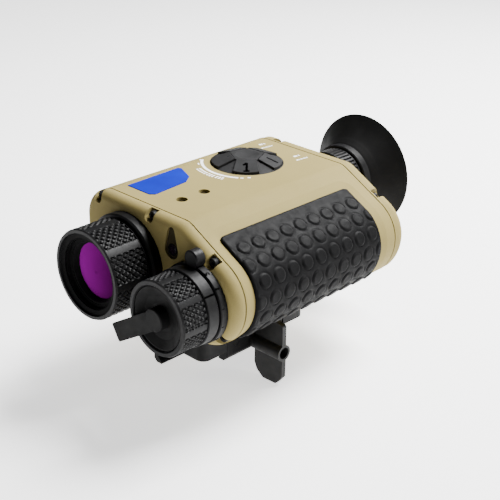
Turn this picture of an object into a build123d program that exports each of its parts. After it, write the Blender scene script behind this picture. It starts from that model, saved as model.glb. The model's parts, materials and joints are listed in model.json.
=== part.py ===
"""Hand-held laser rangefinder with a thermal objective, a day objective and a rail clamp.

Frame: +Z up, the objectives look along -Y, the grip pad is on the +X side.
The origin is the middle of the rail seat, between the two clamp jaws.
"""
from build123d import *
import math
import os

# ---- driving dimensions, mm ----

# housing section, seen along the optical axes (X across, Z up)
LEFT = -60.0
TOP = 80.0
BOTTOM = 21.0
SHOULDER_SLOPE = 28.0
TOP_LEFT_RADIUS = 16.0
BOTTOM_LEFT_RADIUS = 12.0
CREASE_RADIUS = 10.0
SIDE_CENTRE = (29.9, 47.0)
SIDE_RADIUS = 20.8
LOWER_CENTRE = (24.7, 47.0)
LOWER_RADIUS = 26.0
WALL = 3.4

# housing along Y
FRONT_FACE = -51.5
FRONT_JOINT = -45.0
REAR_JOINT = 67.6
REAR_FACE = 77.5
GASKET = 0.7
GASKET_INSET = 0.5
FRONT_ROUND = 4.7
REAR_ROUND = 6.5
FRONT_SKIN = 3.2
REAR_SKIN = 4.0
REAR_WALL = 4.0

# cover screws, each in a U-shaped channel in the cover's edge
FRONT_SCREW_X = -10.2
REAR_SCREW_X = -38.0
BOTTOM_SCREW_X = -12.0
SHOULDER_SCREW_X = 33.5
TOP_SCREW_ANGLE = 114.0
CORNER_SCREW_ANGLE = 225.0
LOWER_SCREW_ANGLE = -50.0
CHANNEL_WIDTH = 6.0
SCREW_SEAT = 1.0
SCREW_HEAD_RADIUS = 2.3
SCREW_HEAD_LENGTH = 2.6
SCREW_RADIUS = 1.25
SCREW_LENGTH = 7.0
SCREW_HOLE_DEPTH = 6.0
SOCKET_DEPTH_SHARE = 0.65
SOCKET_WIDTH_SHARE = 0.5
BOSS_RADIUS = 4.3
FRONT_BOSS_LENGTH = 6.5
REAR_BOSS_LENGTH = 8.5

# grip pad, in a shallow recess with a wide bevel all round
PAD_FRONT = -38.0
PAD_REAR = 55.3
PAD_TOP_X = 24.7
PAD_END_ANGLE = -62.0
PAD_DEPTH = 2.0
PAD_PROUD = 0.8
PAD_GAP = 0.15
PAD_CORNER = 3.0
RECESS_DEPTH = 0.8
BEVEL_RISE = 1.0
BEVEL_RUN = 7.0
PAD_TOOL_PROUD = 3.0

# sensor wells and plate on the top
WELLS = ((-10.5, -29.2), (-10.5, -13.9))
WELL_RADIUS = 3.0
WELL_DEPTH = 1.6
BADGE_OUTLINE = ((-42.8, -36.8), (-43.8, -1.4), (-42.0, -0.5), (-30.7, -5.5),
                 (-26.3, -11.8), (-24.2, -34.5), (-26.3, -36.7))
BADGE_SINK = 0.4
BADGE_PROUD = 0.3

# keypad: five sloping petals round a dished pentagon; heights are above the top
KEYPAD = (-25.6, 32.2)
KEYPAD_HOLE = 20.0
KEYPAD_DEPTH = 5.4
KEY_COUNT = 5
FIRST_KEY_ANGLE = -47.0
KEY_INNER = 8.3
KEY_INNER_HALF = 5.4
KEY_OUTER_RADIUS = 19.2
KEY_OUTER_HALF = 7.0
KEY_INNER_TOP = 4.8
KEY_OUTER_TOP = 1.2
KEY_BOTTOM = -2.2
KEY_TRAVEL = 1.0
KEY_ROUND = 0.3
PLATEAU_TOP = 4.5
PLATEAU_DISH = 0.8
DISH_SPHERE = 28.0
VALLEY_RADIUS = 9.9
VALLEY_TOP = 3.6
BOARD_SIZE = 34.0
BOARD_THICKNESS = 1.6
BOARD_TOP = -7.6

# thermal objective
IR_AXIS = (-24.9, 50.0)
IR_FLANGE_RADIUS = 24.8
IR_FLANGE_FRONT = -57.0
IR_GROOVE_RADIUS = 22.3
IR_RING_RADIUS = 23.35
IR_RING_REAR = -58.3
IR_RING_FRONT = -79.8
IR_RIM_BORE = 21.4
IR_LIP_BORE = 18.6
IR_LIP = 0.8
IR_BARREL_RADIUS = 20.4
IR_BARREL_BORE = 18.2
IR_BARREL_FRONT = -77.0
IR_BARREL_FLANGE = 22.5
IR_CELL_BORE = 16.8
IR_CELL_FRONT = -75.2
IR_CELL_REAR = -56.2
IR_CELL_STOP = 15.6
IR_CELL_WAIST = 14.3
IR_WAIST_FRONT = -61.8
IR_LENS_FRONT = -71.6
IR_LENS_REAR = -67.5
IR_LENS_BULGE = (1.6, 0.5)
IR_CLEAR_RADIUS = 14.5
DETECTOR_HALF = 13.0
DETECTOR_Y = (-44.0, -34.0)
DETECTOR_WINDOW = (9.0, 3.0)

# day objective
DAY_AXIS = (25.1, 44.7)
DAY_SCALE_RADIUS = 20.5
DAY_SCALE_FRONT = -55.9
DAY_COLLAR_RADIUS = 19.7
DAY_COLLAR_REAR = -56.5
DAY_RING_RADIUS = 19.0
DAY_RING_FRONT = -78.4
DAY_RING_REAR = -63.1
DAY_RIM_BORE = 16.8
DAY_LIP_BORE = 16.3
DAY_LIP_REAR = -72.0
DAY_BARREL_RADIUS = 15.5
DAY_BARREL_BORE = 13.6
DAY_BARREL_FRONT = -73.6
DAY_BARREL_FLANGE = 17.0
BARREL_FLANGE = 1.6
DAY_CELL = (-71.0, -56.0)
DAY_CELL_BORE = 12.4
DAY_CELL_WAIST = 10.0
DAY_CELL_SEAT = -66.0
DAY_LENS = (-69.5, -66.5)
DAY_LENS_BULGE = (1.6, 0.4)
INDEX_ANGLE = 35.5
INDEX_WIDTH = 1.0
INDEX_DEPTH = 0.5
LUG_RADIUS = 4.5
LUG_CENTRE = (25.5, 68.3)
LUG_FRONT = -57.0
SENSOR_HALF = 11.0
SENSOR_Y = (-44.0, -36.0)
SENSOR_WINDOW = (8.0, 2.0)

# lens cap on the day objective
CAP_RADIUS = 15.9
CAP_FRONT = -77.6
CAP_LIP = 0.7
CAP_DISH = ((-75.6, 11.0), (-74.9, 7.4), (-74.9, 5.8))
CAP_PLUG = 1.2
CAP_BOSS_RADIUS = 5.8
CAP_BOSS_FRONT = -80.3
TAB_WIDTH = 9.7
TAB_REACH = 33.2
TAB_ANGLE = 212.0
TAB_Y = (-79.95, -78.75)
TAB_CORNER = 1.0

# laser window and the tube behind it
WINDOW_X = 6.2
WINDOW_LOW = (65.0, 4.7)
WINDOW_HIGH = (74.4, 2.5)
WINDOW_LEDGE = 0.8
WINDOW_REAR = 1.8
WINDOW_THICKNESS = 0.9
LASER_TUBE = (3.6, FRONT_FACE + 2.6, -26.0)
LASER_COLLAR = (5.0, -44.0, -30.0)

# eyepiece
EYE_AXIS = (-6.9, 60.7)
EYE_TUBE_RADIUS = 15.0
EYE_TUBE_BORE = 13.2
EYE_TUBE_FRONT = 66.0
EYE_TUBE_REAR = 100.0
DIOPTER_RADIUS = 17.9
DIOPTER_REAR = 88.5
EYE_COLLAR_RADIUS = 19.2
EYE_COLLAR_REAR = 94.0
EYECUP_BASE = 18.4
EYECUP_RADIUS = 32.8
EYECUP_REAR = 110.2
EYECUP_WALL = 2.4
EYECUP_LIP = 0.8
EYE_CELL = (80.0, 97.5)
EYE_CELL_SEAT = 90.5
EYE_CELL_BORE = 12.0
EYE_CELL_WAIST = 10.0
EYE_LENS = (91.0, 94.6)
EYE_LENS_BULGE = (0.4, 1.8)
DISPLAY_HALF = (10.0, 8.0)
DISPLAY_Y = (58.0, 62.0)
SCREEN_HALF = (7.0, 5.5)
SCREEN_REAR = 62.6

# main board, and its chips: (rear X, Y range, Z range)
MAIN_BOARD = ((14.0, 15.6), (-28.0, 52.0), (29.0, 62.0))
CHIPS = ((18.0, (-5.0, 9.0), (40.0, 54.0)), (17.2, (20.0, 32.0), (36.0, 44.0)),
         (19.0, (40.0, 48.0), (48.0, 58.0)))

# battery, its tube and its cap
BATTERY_AXIS = (-40.0, 40.0)
BATTERY_RADIUS = 9.3
BATTERY_LENGTH = 65.0
BATTERY_REAR = 68.0
BATTERY_BUTTON = (2.8, 1.5)
BATTERY_TUBE_BORE = 9.8
BATTERY_TUBE_RADIUS = 11.4
BATTERY_TUBE_END = 2.0
BATTERY_CAP_RADIUS = 12.3
BATTERY_CAP_HEIGHT = 3.8
BATTERY_PLUG_RADIUS = 10.2
BATTERY_PLUG_FRONT = 70.4
SEAL_GROOVE = (73.0, 75.0)
SEAL_GROOVE_DEPTH = 1.2
FINGER_BAR = (9.5, 2.1, 6.4)
CONTACT_STEPS = ((68.6, 2.5), (69.4, 5.0), (70.35, 5.0))

# data port and its cover, on the left wall
PORT_Y = (-22.0, 0.0)
PORT_Z = (37.0, 54.5)
PORT_RECESS = 1.6
PORT_COVER_GAP = 0.3
PORT_COVER_PROUD = 0.8
PORT_PIN_X = -59.6
PORT_PIN_RADIUS = 0.6
PORT_PIN_OVERHANG = 2.4
PORT_BARREL_RADIUS = 1.5
PORT_LIP_INSET = 6.0
PORT_LIP_PROUD = 1.8
PORT_LIP_HEIGHT = 1.9
SOCKET_Y = -11.0
SOCKET_Z = 44.75
SOCKET_SIZE = (9.2, 3.6)
SOCKET_WALL = 0.4
SOCKET_DEPTH = 7.0

# rail clamp; the rail is 21.2 wide, with 45 degree flanks
BASE_X = (-14.0, 14.5)
BASE_HALF_LENGTH = 38.4
BASE_CORNER = 5.0
RAIL_HALF_WIDTH = 10.6
RAIL_FLANK = 2.75
JAW_BOTTOM = -6.3
JAW_TOP = 5.5
JAW_LIP_X = 7.9
JAW_ROOT_X = 8.6
JAW_CHAMFER = 2.5
JAW_EDGE = 0.6
FIXED_JAW_HALF_LENGTH = 46.7
MOVING_JAW_HALF_LENGTH = 21.0
MOVING_JAW_OUTER = 14.2
BOLT_Z = -0.8
BOLT_RADIUS = 2.4
BOLT_X = (-18.0, 27.0)
NUT_RADIUS = 4.6
NUT_THICKNESS = 3.6
KNOB_START = 14.6
KNOB_END = 35.0
KNOB_RADIUS = 4.5
KNOB_HOLLOW = (28.0, 3.2)
WING_THICKNESS = 2.8
WING_ROUND = 1.4
LOWER_WING = ((15.2, 0), (15.2, -12.1), (17.0, -16.1), (21.5, -19.6), (30.8, -19.4), (35.0, -14.2), (35.0, 0))
UPPER_WING = ((15.2, 0), (15.2, 6.0), (19.0, 11.5), (24.0, 15.6), (28.7, 17.3), (34.7, 16.1), (35.0, 0))
CLAMP_SCREWS_Y = (-29.0, 29.0)
CLAMP_SCREW_RADIUS = 2.0
CLAMP_HEAD = (3.6, 1.0, 5.0)
CLAMP_SCREW_END = BOTTOM + 9.0
SCREW_POST_RADIUS = 5.0
SCREW_POST_HEIGHT = 11.0
JAW_SCREWS_Y = (-20.0, 20.0)
JAW_SCREW_Z = 2.6
JAW_SCREW_RADIUS = 1.25
JAW_SCREW_HEAD = (2.25, -13.8, -11.6)
JAW_SCREW_END = -4.2
GUIDE_PINS_Y = (-14.0, 14.0)
GUIDE_PIN_Z = 2.8
GUIDE_PIN_RADIUS = 1.5

# tripod bush, 1/4-20
BUSH_PLACE = (0.0, 50.5)
BUSH_RADIUS = 6.0
BUSH_LENGTH = 10.0
BUSH_WALL = 2.5
BUSH_THREAD_RADIUS = 3.175
BUSH_THREAD_DEPTH = 8.5

# clearances, and how far a cutting tool runs past a face
RUNNING_FIT = 0.06
BODY_GAP = 0.3
SEAT_GAP = 0.05
PAST = 1.0
WELD = 0.5


# ---- helpers ----

def point_at(centre, radius, degrees):
    """Point on a circle, counter-clockwise from the first axis."""
    angle = math.radians(degrees)
    return (centre[0] + radius * math.cos(angle), centre[1] + radius * math.sin(angle))


def prism_y(sketch, y_front, y_rear):
    """A sketch in X and Z, carried from y_front back to y_rear."""
    plane = Plane(origin=(0, y_rear, 0), x_dir=(1, 0, 0), z_dir=(0, -1, 0))
    return extrude(plane * sketch, amount=y_rear - y_front)


def prism_x(sketch, x_low, x_high):
    """A sketch in Y and Z, carried from x_low to x_high."""
    plane = Plane(origin=(x_low, 0, 0), x_dir=(0, 1, 0), z_dir=(1, 0, 0))
    return extrude(plane * sketch, amount=x_high - x_low)


def prism_z(sketch, z_low, z_high):
    """A sketch in X and Y, carried from z_low up to z_high."""
    return extrude(Plane((0, 0, z_low)) * sketch, amount=z_high - z_low)


def block(x_range, y_range, z_range):
    """A box between pairs of limits."""
    size = [high - low for low, high in (x_range, y_range, z_range)]
    middle = [(high + low) / 2 for low, high in (x_range, y_range, z_range)]
    return Pos(*middle) * Box(*size)


def polygon(points):
    """A flat face with straight sides."""
    return make_face(Polyline(*points, close=True))


def turned(axis, points):
    """A piece turned about an axis along Y through (x, z); points are (y, radius)."""
    x, z = axis
    face = Plane((x, 0, z)) * polygon([(radius, y) for y, radius in points])
    return revolve(face, Axis((x, 0, z), (0, 1, 0)))


def ring(axis, y_front, y_rear, inner, outer, chamfer_size=0.0):
    """A turned ring with both outer rims chamfered."""
    c = chamfer_size
    if c == 0:
        return turned(axis, [(y_front, inner), (y_front, outer), (y_rear, outer), (y_rear, inner)])
    return turned(axis, [(y_front, inner), (y_front, outer - c), (y_front + c, outer),
                         (y_rear - c, outer), (y_rear, outer - c), (y_rear, inner)])


def rod_y(axis, y_front, y_rear, radius):
    """A round bar along Y."""
    return ring(axis, y_front, y_rear, 0, radius)


def rod_x(y, z, x_low, x_high, radius):
    """A round bar along X."""
    return prism_x(Pos(y, z) * Circle(radius), x_low, x_high)


def rod_z(x, y, z_low, z_high, radius):
    """A round bar along Z."""
    return prism_z(Pos(x, y) * Circle(radius), z_low, z_high)


def bulge_at(distance, radius, bulge):
    """How far a spherical face stands out at a distance from its middle."""
    sphere = (radius ** 2 + bulge ** 2) / (2 * bulge)
    return math.sqrt(sphere ** 2 - distance ** 2) - (sphere - bulge)


def lens(axis, y_front, y_rear, radius, front_bulge, rear_bulge):
    """A lens with spherical faces; each bulge is how far the face stands out at the middle."""
    x, z = axis
    half = radius / 2
    front = ThreePointArc((0, y_front - front_bulge), (half, y_front - bulge_at(half, radius, front_bulge)),
                          (radius, y_front))
    edge = Line((radius, y_front), (radius, y_rear))
    rear = ThreePointArc((radius, y_rear), (half, y_rear + bulge_at(half, radius, rear_bulge)),
                         (0, y_rear + rear_bulge))
    middle = Line((0, y_rear + rear_bulge), (0, y_front - front_bulge))
    face = Plane((x, 0, z)) * make_face(front + edge + rear + middle)
    return revolve(face, Axis((x, 0, z), (0, 1, 0)))


def cap_screw(axis, y_seat, towards_rear):
    """Socket head screw along Y, its head standing on y_seat."""
    way = 1 if towards_rear else -1
    head_end = y_seat - way * SCREW_HEAD_LENGTH
    socket_end = y_seat - way * SCREW_HEAD_LENGTH * (1 - SOCKET_DEPTH_SHARE)
    tip = y_seat + way * SCREW_LENGTH
    head = rod_y(axis, min(y_seat, head_end), max(y_seat, head_end), SCREW_HEAD_RADIUS)
    shank = rod_y(axis, min(y_seat, tip), max(y_seat, tip), SCREW_RADIUS)
    socket = Pos(*axis) * RegularPolygon(SCREW_HEAD_RADIUS * SOCKET_WIDTH_SHARE, 6)
    hole = prism_y(socket, min(head_end, socket_end), max(head_end, socket_end))
    return head + shank - hole


# ---- housing section ----

def shoulder_normal():
    """Unit vector out of the sloping shoulder."""
    angle = math.radians(SHOULDER_SLOPE)
    return (math.sin(angle), math.cos(angle))


def shoulder_foot():
    """Where the shoulder runs into the rounded side."""
    return point_at(SIDE_CENTRE, SIDE_RADIUS, 90 - SHOULDER_SLOPE)


def shoulder_point(x):
    """Point on the shoulder at a given X."""
    foot = shoulder_foot()
    return (x, foot[1] + (foot[0] - x) * math.tan(math.radians(SHOULDER_SLOPE)))


def crease_x():
    """Where the shoulder meets the flat top."""
    foot = shoulder_foot()
    return foot[0] - (TOP - foot[1]) / math.tan(math.radians(SHOULDER_SLOPE))


def housing_section():
    """Outer outline of the housing."""
    foot = shoulder_foot()
    side_end = point_at(SIDE_CENTRE, SIDE_RADIUS, 0)
    lower_end = point_at(LOWER_CENTRE, LOWER_RADIUS, -90)
    straight = FilletPolyline(lower_end, (LEFT, BOTTOM), (LEFT, TOP), (crease_x(), TOP), foot,
                              radius=[BOTTOM_LEFT_RADIUS, TOP_LEFT_RADIUS, CREASE_RADIUS])
    side_middle = point_at(SIDE_CENTRE, SIDE_RADIUS, (90 - SHOULDER_SLOPE) / 2)
    side = ThreePointArc(foot, side_middle, side_end)
    lower = ThreePointArc(side_end, point_at(LOWER_CENTRE, LOWER_RADIUS, -45), lower_end)
    return make_face(straight + side + lower)


def screw_stations(top_x):
    """Surface points and outward directions of the six screws of a cover."""
    top_left = (LEFT + TOP_LEFT_RADIUS, TOP - TOP_LEFT_RADIUS)
    bottom_left = (LEFT + BOTTOM_LEFT_RADIUS, BOTTOM + BOTTOM_LEFT_RADIUS)
    return [((top_x, TOP), 90.0),
            (point_at(top_left, TOP_LEFT_RADIUS, TOP_SCREW_ANGLE), TOP_SCREW_ANGLE),
            (shoulder_point(SHOULDER_SCREW_X), 90.0 - SHOULDER_SLOPE),
            (point_at(bottom_left, BOTTOM_LEFT_RADIUS, CORNER_SCREW_ANGLE), CORNER_SCREW_ANGLE),
            ((BOTTOM_SCREW_X, BOTTOM), 270.0),
            (point_at(LOWER_CENTRE, LOWER_RADIUS, LOWER_SCREW_ANGLE), LOWER_SCREW_ANGLE)]


def screw_axis(station):
    """Where a cover screw's axis crosses the section."""
    surface, direction = station
    return point_at(surface, -CHANNEL_WIDTH / 2, direction)


def boss_section(stations):
    """Discs round the screw axes, which thicken the wall there."""
    return Sketch() + [Pos(*screw_axis(station)) * Circle(BOSS_RADIUS) for station in stations]


def channel_section(station):
    """U-shaped channel, open at the surface."""
    surface, direction = station
    slot = Pos(CHANNEL_WIDTH / 2, 0) * Rectangle(CHANNEL_WIDTH * 2, CHANNEL_WIDTH)
    return Pos(*screw_axis(station)) * Rot(0, 0, direction) * (
        Circle(CHANNEL_WIDTH / 2) + Pos(CHANNEL_WIDTH / 2, 0) * slot)


FRONT_STATIONS = screw_stations(FRONT_SCREW_X)
REAR_STATIONS = screw_stations(REAR_SCREW_X)
SHELL_FRONT = FRONT_JOINT + GASKET / 2
SHELL_REAR = REAR_JOINT - GASKET / 2
FRONT_COVER_REAR = FRONT_JOINT - GASKET / 2
REAR_COVER_FRONT = REAR_JOINT + GASKET / 2
FRONT_SEAT = FRONT_COVER_REAR - SCREW_SEAT
REAR_SEAT = REAR_COVER_FRONT + SCREW_SEAT


# ---- housing ----

def pad_region(margin):
    """Region of the section that the grip pad takes up, widened by a margin along the surface."""
    normal = shoulder_normal()
    edge = shoulder_point(PAD_TOP_X - margin * normal[1])
    outside = (edge[0] + 10 * normal[0], edge[1] + 10 * normal[1])
    inside = (edge[0] - 20 * normal[0], edge[1] - 20 * normal[1])
    end_angle = PAD_END_ANGLE - math.degrees(margin / LOWER_RADIUS)
    return polygon([LOWER_CENTRE, point_at(LOWER_CENTRE, 45, end_angle), (90, 5), (90, 90),
                    outside, inside])


def pad_band(proud, depth, margin):
    """Round-cornered band on the side, from a height above the surface to a depth below it."""
    outline = housing_section()
    section = (offset(outline, proud) - offset(outline, -depth)) & pad_region(margin)
    band = prism_y(section, PAD_FRONT - margin, PAD_REAR + margin)
    ends = (band.bounding_box().min.Y, band.bounding_box().max.Y)
    corners = [edge for edge in band.edges()
               if abs(edge.length - proud - depth) < 0.3
               and min(abs(edge.center().Y - end) for end in ends) < 0.01]
    return fillet(corners, PAD_CORNER + margin)


def pad_recess():
    """Shallow recess round the pad; its floor rises to the surface in a wide bevel all round."""
    band = pad_band(PAD_TOOL_PROUD, RECESS_DEPTH, BEVEL_RUN)
    floor_line = offset(housing_section(), -RECESS_DEPTH).edges()
    edges = []
    for face in band.faces():
        middle = Vertex(face.center().X, face.center().Z, 0)
        if min(middle.distance_to(line) for line in floor_line) < 0.05:
            edges += face.edges()
    rim = [edge for edge in edges
           if sum((edge.center() - other.center()).length < 0.01 for other in edges) == 1]
    return chamfer(rim, BEVEL_RISE, BEVEL_RUN)


def port_recess():
    """Shallow recess in the left wall, with a groove for the hinge barrel and a hole for the socket."""
    recess = block((LEFT - 5, LEFT + PORT_RECESS), PORT_Y, PORT_Z)
    pin = (PORT_PIN_X, PORT_Z[1])
    overhang = PORT_PIN_OVERHANG + SEAT_GAP
    groove = rod_y(pin, PORT_Y[0], PORT_Y[1], PORT_BARREL_RADIUS + BODY_GAP)
    pin_hole = rod_y(pin, PORT_Y[0] - overhang, PORT_Y[1] + overhang, PORT_PIN_RADIUS + SEAT_GAP)
    hole = RectangleRounded(SOCKET_SIZE[0] + BODY_GAP, SOCKET_SIZE[1] + BODY_GAP, SOCKET_SIZE[1] / 2)
    opening = prism_x(Pos(SOCKET_Y, SOCKET_Z) * hole, LEFT - PAST, LEFT + WALL + PAST)
    return recess + groove + pin_hole + opening


def shell_tube():
    """The housing's tube, thickened round the screws at both ends."""
    outline = housing_section()
    inner = offset(outline, -WALL)
    front_boss_end = SHELL_FRONT + FRONT_BOSS_LENGTH
    rear_boss_end = SHELL_REAR - REAR_BOSS_LENGTH
    shell = prism_y(outline, SHELL_FRONT, SHELL_REAR)
    shell -= prism_y(inner - boss_section(FRONT_STATIONS), SHELL_FRONT, front_boss_end)
    shell -= prism_y(inner, front_boss_end, rear_boss_end)
    return shell - prism_y(inner - boss_section(REAR_STATIONS), rear_boss_end, SHELL_REAR)


def top_openings():
    """What is cut out of the top: the keypad's hole, the two wells and the plate's recess."""
    wall = (TOP - WALL - PAST, TOP + PAST)
    cut = rod_z(*KEYPAD, *wall, KEYPAD_HOLE)
    for x, y in WELLS:
        cut += rod_z(x, y, *wall, WELL_RADIUS)
    return cut + prism_z(offset(polygon(BADGE_OUTLINE), SEAT_GAP), TOP - BADGE_SINK, TOP + PAST)


def main_shell():
    """Middle of the housing: a tube with bosses, the pad's pocket and holes for what it carries."""
    shell = shell_tube()
    shell -= pad_band(PAD_TOOL_PROUD, PAD_DEPTH, PAD_GAP)
    shell -= pad_recess()
    shell -= top_openings()
    shell -= port_recess()
    floor_top = BOTTOM + WALL - WELD
    for y in CLAMP_SCREWS_Y:
        shell += rod_z(0, y, floor_top, BOTTOM + SCREW_POST_HEIGHT, SCREW_POST_RADIUS)
        shell -= rod_z(0, y, BOTTOM - PAST, CLAMP_SCREW_END + WELD, CLAMP_SCREW_RADIUS + SEAT_GAP)
    shell += rod_z(*BUSH_PLACE, floor_top, BOTTOM + BUSH_LENGTH, BUSH_RADIUS + BUSH_WALL)
    shell -= rod_z(*BUSH_PLACE, BOTTOM - PAST, BOTTOM + BUSH_LENGTH + PAST, BUSH_RADIUS + SEAT_GAP)
    hole = SCREW_RADIUS + SEAT_GAP
    for station in FRONT_STATIONS:
        shell -= rod_y(screw_axis(station), SHELL_FRONT - PAST, SHELL_FRONT + SCREW_HOLE_DEPTH, hole)
    for station in REAR_STATIONS:
        shell -= rod_y(screw_axis(station), SHELL_REAR - SCREW_HOLE_DEPTH, SHELL_REAR + PAST, hole)
    return shell


def window_shape(shrink=0.0):
    """Teardrop: a large round bottom and a narrow top."""
    low_z, low_radius = WINDOW_LOW
    high_z, high_radius = WINDOW_HIGH
    circles = Sketch() + [Pos(WINDOW_X, low_z) * Circle(low_radius - shrink),
                          Pos(WINDOW_X, high_z) * Circle(high_radius - shrink)]
    return make_hull(circles.edges())


def front_cover():
    """Front cover, with holes for both objectives, the laser window and the screws."""
    outline = housing_section()
    cover = prism_y(outline, FRONT_FACE, FRONT_COVER_REAR)
    cover = fillet(cover.faces().sort_by(Axis.Y)[0].edges(), FRONT_ROUND)
    inner = offset(outline, -WALL) - boss_section(FRONT_STATIONS)
    cover -= prism_y(inner, FRONT_FACE + FRONT_SKIN, FRONT_COVER_REAR)
    before = FRONT_FACE - PAST
    for station in FRONT_STATIONS:
        cover -= prism_y(channel_section(station), before, FRONT_SEAT)
        cover -= rod_y(screw_axis(station), before, FRONT_COVER_REAR + PAST, SCREW_RADIUS + SEAT_GAP)
    cover -= rod_y(IR_AXIS, before, FRONT_COVER_REAR, IR_BARREL_RADIUS + SEAT_GAP)
    cover -= rod_y(DAY_AXIS, before, FRONT_COVER_REAR, DAY_BARREL_RADIUS + SEAT_GAP)
    cover -= prism_y(window_shape(), before, FRONT_FACE + WINDOW_REAR)
    return cover - prism_y(window_shape(WINDOW_LEDGE), before, FRONT_COVER_REAR)


def rear_cover():
    """Rear cover, with holes for the eyepiece, the battery and the screws."""
    outline = housing_section()
    cover = prism_y(outline, REAR_COVER_FRONT, REAR_FACE)
    cover = fillet(cover.faces().sort_by(Axis.Y)[-1].edges(), REAR_ROUND)
    inner = offset(outline, -REAR_WALL) - boss_section(REAR_STATIONS)
    cover -= prism_y(inner, REAR_COVER_FRONT, REAR_FACE - REAR_SKIN)
    behind = REAR_FACE + PAST
    for station in REAR_STATIONS:
        cover -= prism_y(channel_section(station), REAR_SEAT, behind)
        cover -= rod_y(screw_axis(station), REAR_COVER_FRONT - PAST, behind, SCREW_RADIUS + SEAT_GAP)
    cover -= rod_y(EYE_AXIS, REAR_COVER_FRONT, behind, EYE_TUBE_RADIUS + SEAT_GAP)
    collar = ring(BATTERY_AXIS, REAR_COVER_FRONT + BATTERY_TUBE_END, REAR_FACE - REAR_SKIN + WELD,
                  BATTERY_PLUG_RADIUS, BATTERY_PLUG_RADIUS + BUSH_WALL)
    return cover + collar - rod_y(BATTERY_AXIS, REAR_COVER_FRONT, behind, BATTERY_PLUG_RADIUS + RUNNING_FIT)


def gasket(y_middle, stations):
    """Flat seal between the shell and a cover, set in a little from their surface."""
    outline = housing_section()
    band = offset(outline, -GASKET_INSET) - offset(outline, -WALL)
    seal = prism_y(band, y_middle - GASKET / 2, y_middle + GASKET / 2)
    for station in stations:
        seal -= rod_y(screw_axis(station), y_middle - PAST, y_middle + PAST, SCREW_RADIUS + SEAT_GAP)
    return seal


def cover_screws(stations, y_seat, towards_rear):
    """The six screws of one cover."""
    return [cap_screw(screw_axis(station), y_seat, towards_rear) for station in stations]


def grip_pad():
    """Rubber pad wrapped round the side, a little proud of the housing."""
    return pad_band(PAD_PROUD, PAD_DEPTH, 0)


def badge_plate():
    """Thin plate let into the top."""
    return prism_z(polygon(BADGE_OUTLINE), TOP - BADGE_SINK, TOP + BADGE_PROUD)


def well_lenses():
    """Dark sensor windows at the bottom of the two wells."""
    return [rod_z(x, y, TOP - WALL, TOP - WELL_DEPTH, WELL_RADIUS - SEAT_GAP) for x, y in WELLS]


# ---- keypad ----

def key_outline():
    """Outline of a petal that points along +X: a straight inner edge, and an arc at the rim."""
    angle = math.degrees(math.asin(KEY_OUTER_HALF / KEY_OUTER_RADIUS))
    low = point_at((0, 0), KEY_OUTER_RADIUS, -angle)
    high = point_at((0, 0), KEY_OUTER_RADIUS, angle)
    sides = Polyline(low, (KEY_INNER, -KEY_INNER_HALF), (KEY_INNER, KEY_INNER_HALF), high)
    return make_face(sides + ThreePointArc(high, (KEY_OUTER_RADIUS, 0), low))


def key_direction(number):
    """Direction in which a petal points."""
    return FIRST_KEY_ANGLE + number * 360 / KEY_COUNT


def keypad_base():
    """Cup under the keys: a dished pentagon in the middle, and valleys that slope down between the petals."""
    rim = KEYPAD_HOLE - SEAT_GAP
    profile = polygon([(0, -KEYPAD_DEPTH), (rim, -KEYPAD_DEPTH), (rim, 0), (VALLEY_RADIUS, VALLEY_TOP),
                       (0, VALLEY_TOP)])
    base = revolve(Plane.XZ * profile, Axis.Z)
    half_side = 180 / KEY_COUNT
    corner_radius = (KEY_INNER - BODY_GAP) / math.cos(math.radians(half_side))
    pentagon = Rot(0, 0, key_direction(0) + half_side) * RegularPolygon(corner_radius, KEY_COUNT)
    base += prism_z(pentagon, -KEYPAD_DEPTH, PLATEAU_TOP)
    base -= Pos(0, 0, PLATEAU_TOP - PLATEAU_DISH + DISH_SPHERE) * Sphere(DISH_SPHERE)
    pocket = prism_z(offset(key_outline(), BODY_GAP), KEY_BOTTOM - KEY_TRAVEL - BODY_GAP, PLATEAU_TOP + PAST)
    for number in range(KEY_COUNT):
        base -= Rot(0, 0, key_direction(number)) * pocket
    return Pos(*KEYPAD, TOP) * base


def key(number):
    """One petal of the keypad, flat on top and sloping down to the rim."""
    fall = (KEY_INNER_TOP - KEY_OUTER_TOP) / (KEY_OUTER_RADIUS - KEY_INNER)
    inner_x = KEY_INNER - PAST
    outer_x = KEY_OUTER_RADIUS + PAST
    above = polygon([(inner_x, KEY_INNER_TOP + fall * PAST), (outer_x, KEY_OUTER_TOP - fall * PAST),
                     (outer_x, 2 * KEY_INNER_TOP), (inner_x, 2 * KEY_INNER_TOP)])
    petal = prism_z(key_outline(), KEY_BOTTOM, KEY_INNER_TOP + PAST)
    petal -= extrude(Plane.XZ * above, amount=KEYPAD_HOLE, both=True)
    petal = fillet(petal.faces().sort_by(Axis.Z)[-1].edges(), KEY_ROUND)
    return Pos(*KEYPAD, TOP) * Rot(0, 0, key_direction(number)) * petal


def keypad_board():
    """Circuit board that the keys press on."""
    plate = Pos(*KEYPAD) * RectangleRounded(BOARD_SIZE, BOARD_SIZE, 3)
    return prism_z(plate, TOP + BOARD_TOP - BOARD_THICKNESS, TOP + BOARD_TOP)


# ---- electronics and battery ----

def main_board():
    """Upright main circuit board with its larger chips."""
    board = block(*MAIN_BOARD)
    for chip_x, y_range, z_range in CHIPS:
        board += block((MAIN_BOARD[0][0], chip_x), y_range, z_range)
    return board


def image_sensor(axis, half, y_range, window):
    """Square sensor block behind an objective, with a round window let into its front."""
    x, z = axis
    radius, depth = window
    body = block((x - half, x + half), y_range, (z - half, z + half))
    return body - rod_y(axis, y_range[0] - PAST, y_range[0] + depth, radius)


def laser_emitter():
    """Laser transmitter and receiver tube behind the window."""
    axis = (WINDOW_X, WINDOW_LOW[0])
    tube_radius, tube_front, tube_rear = LASER_TUBE
    collar_radius, collar_front, collar_rear = LASER_COLLAR
    tube = rod_y(axis, tube_front, tube_rear, tube_radius)
    return tube + rod_y(axis, collar_front, collar_rear, collar_radius)


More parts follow.
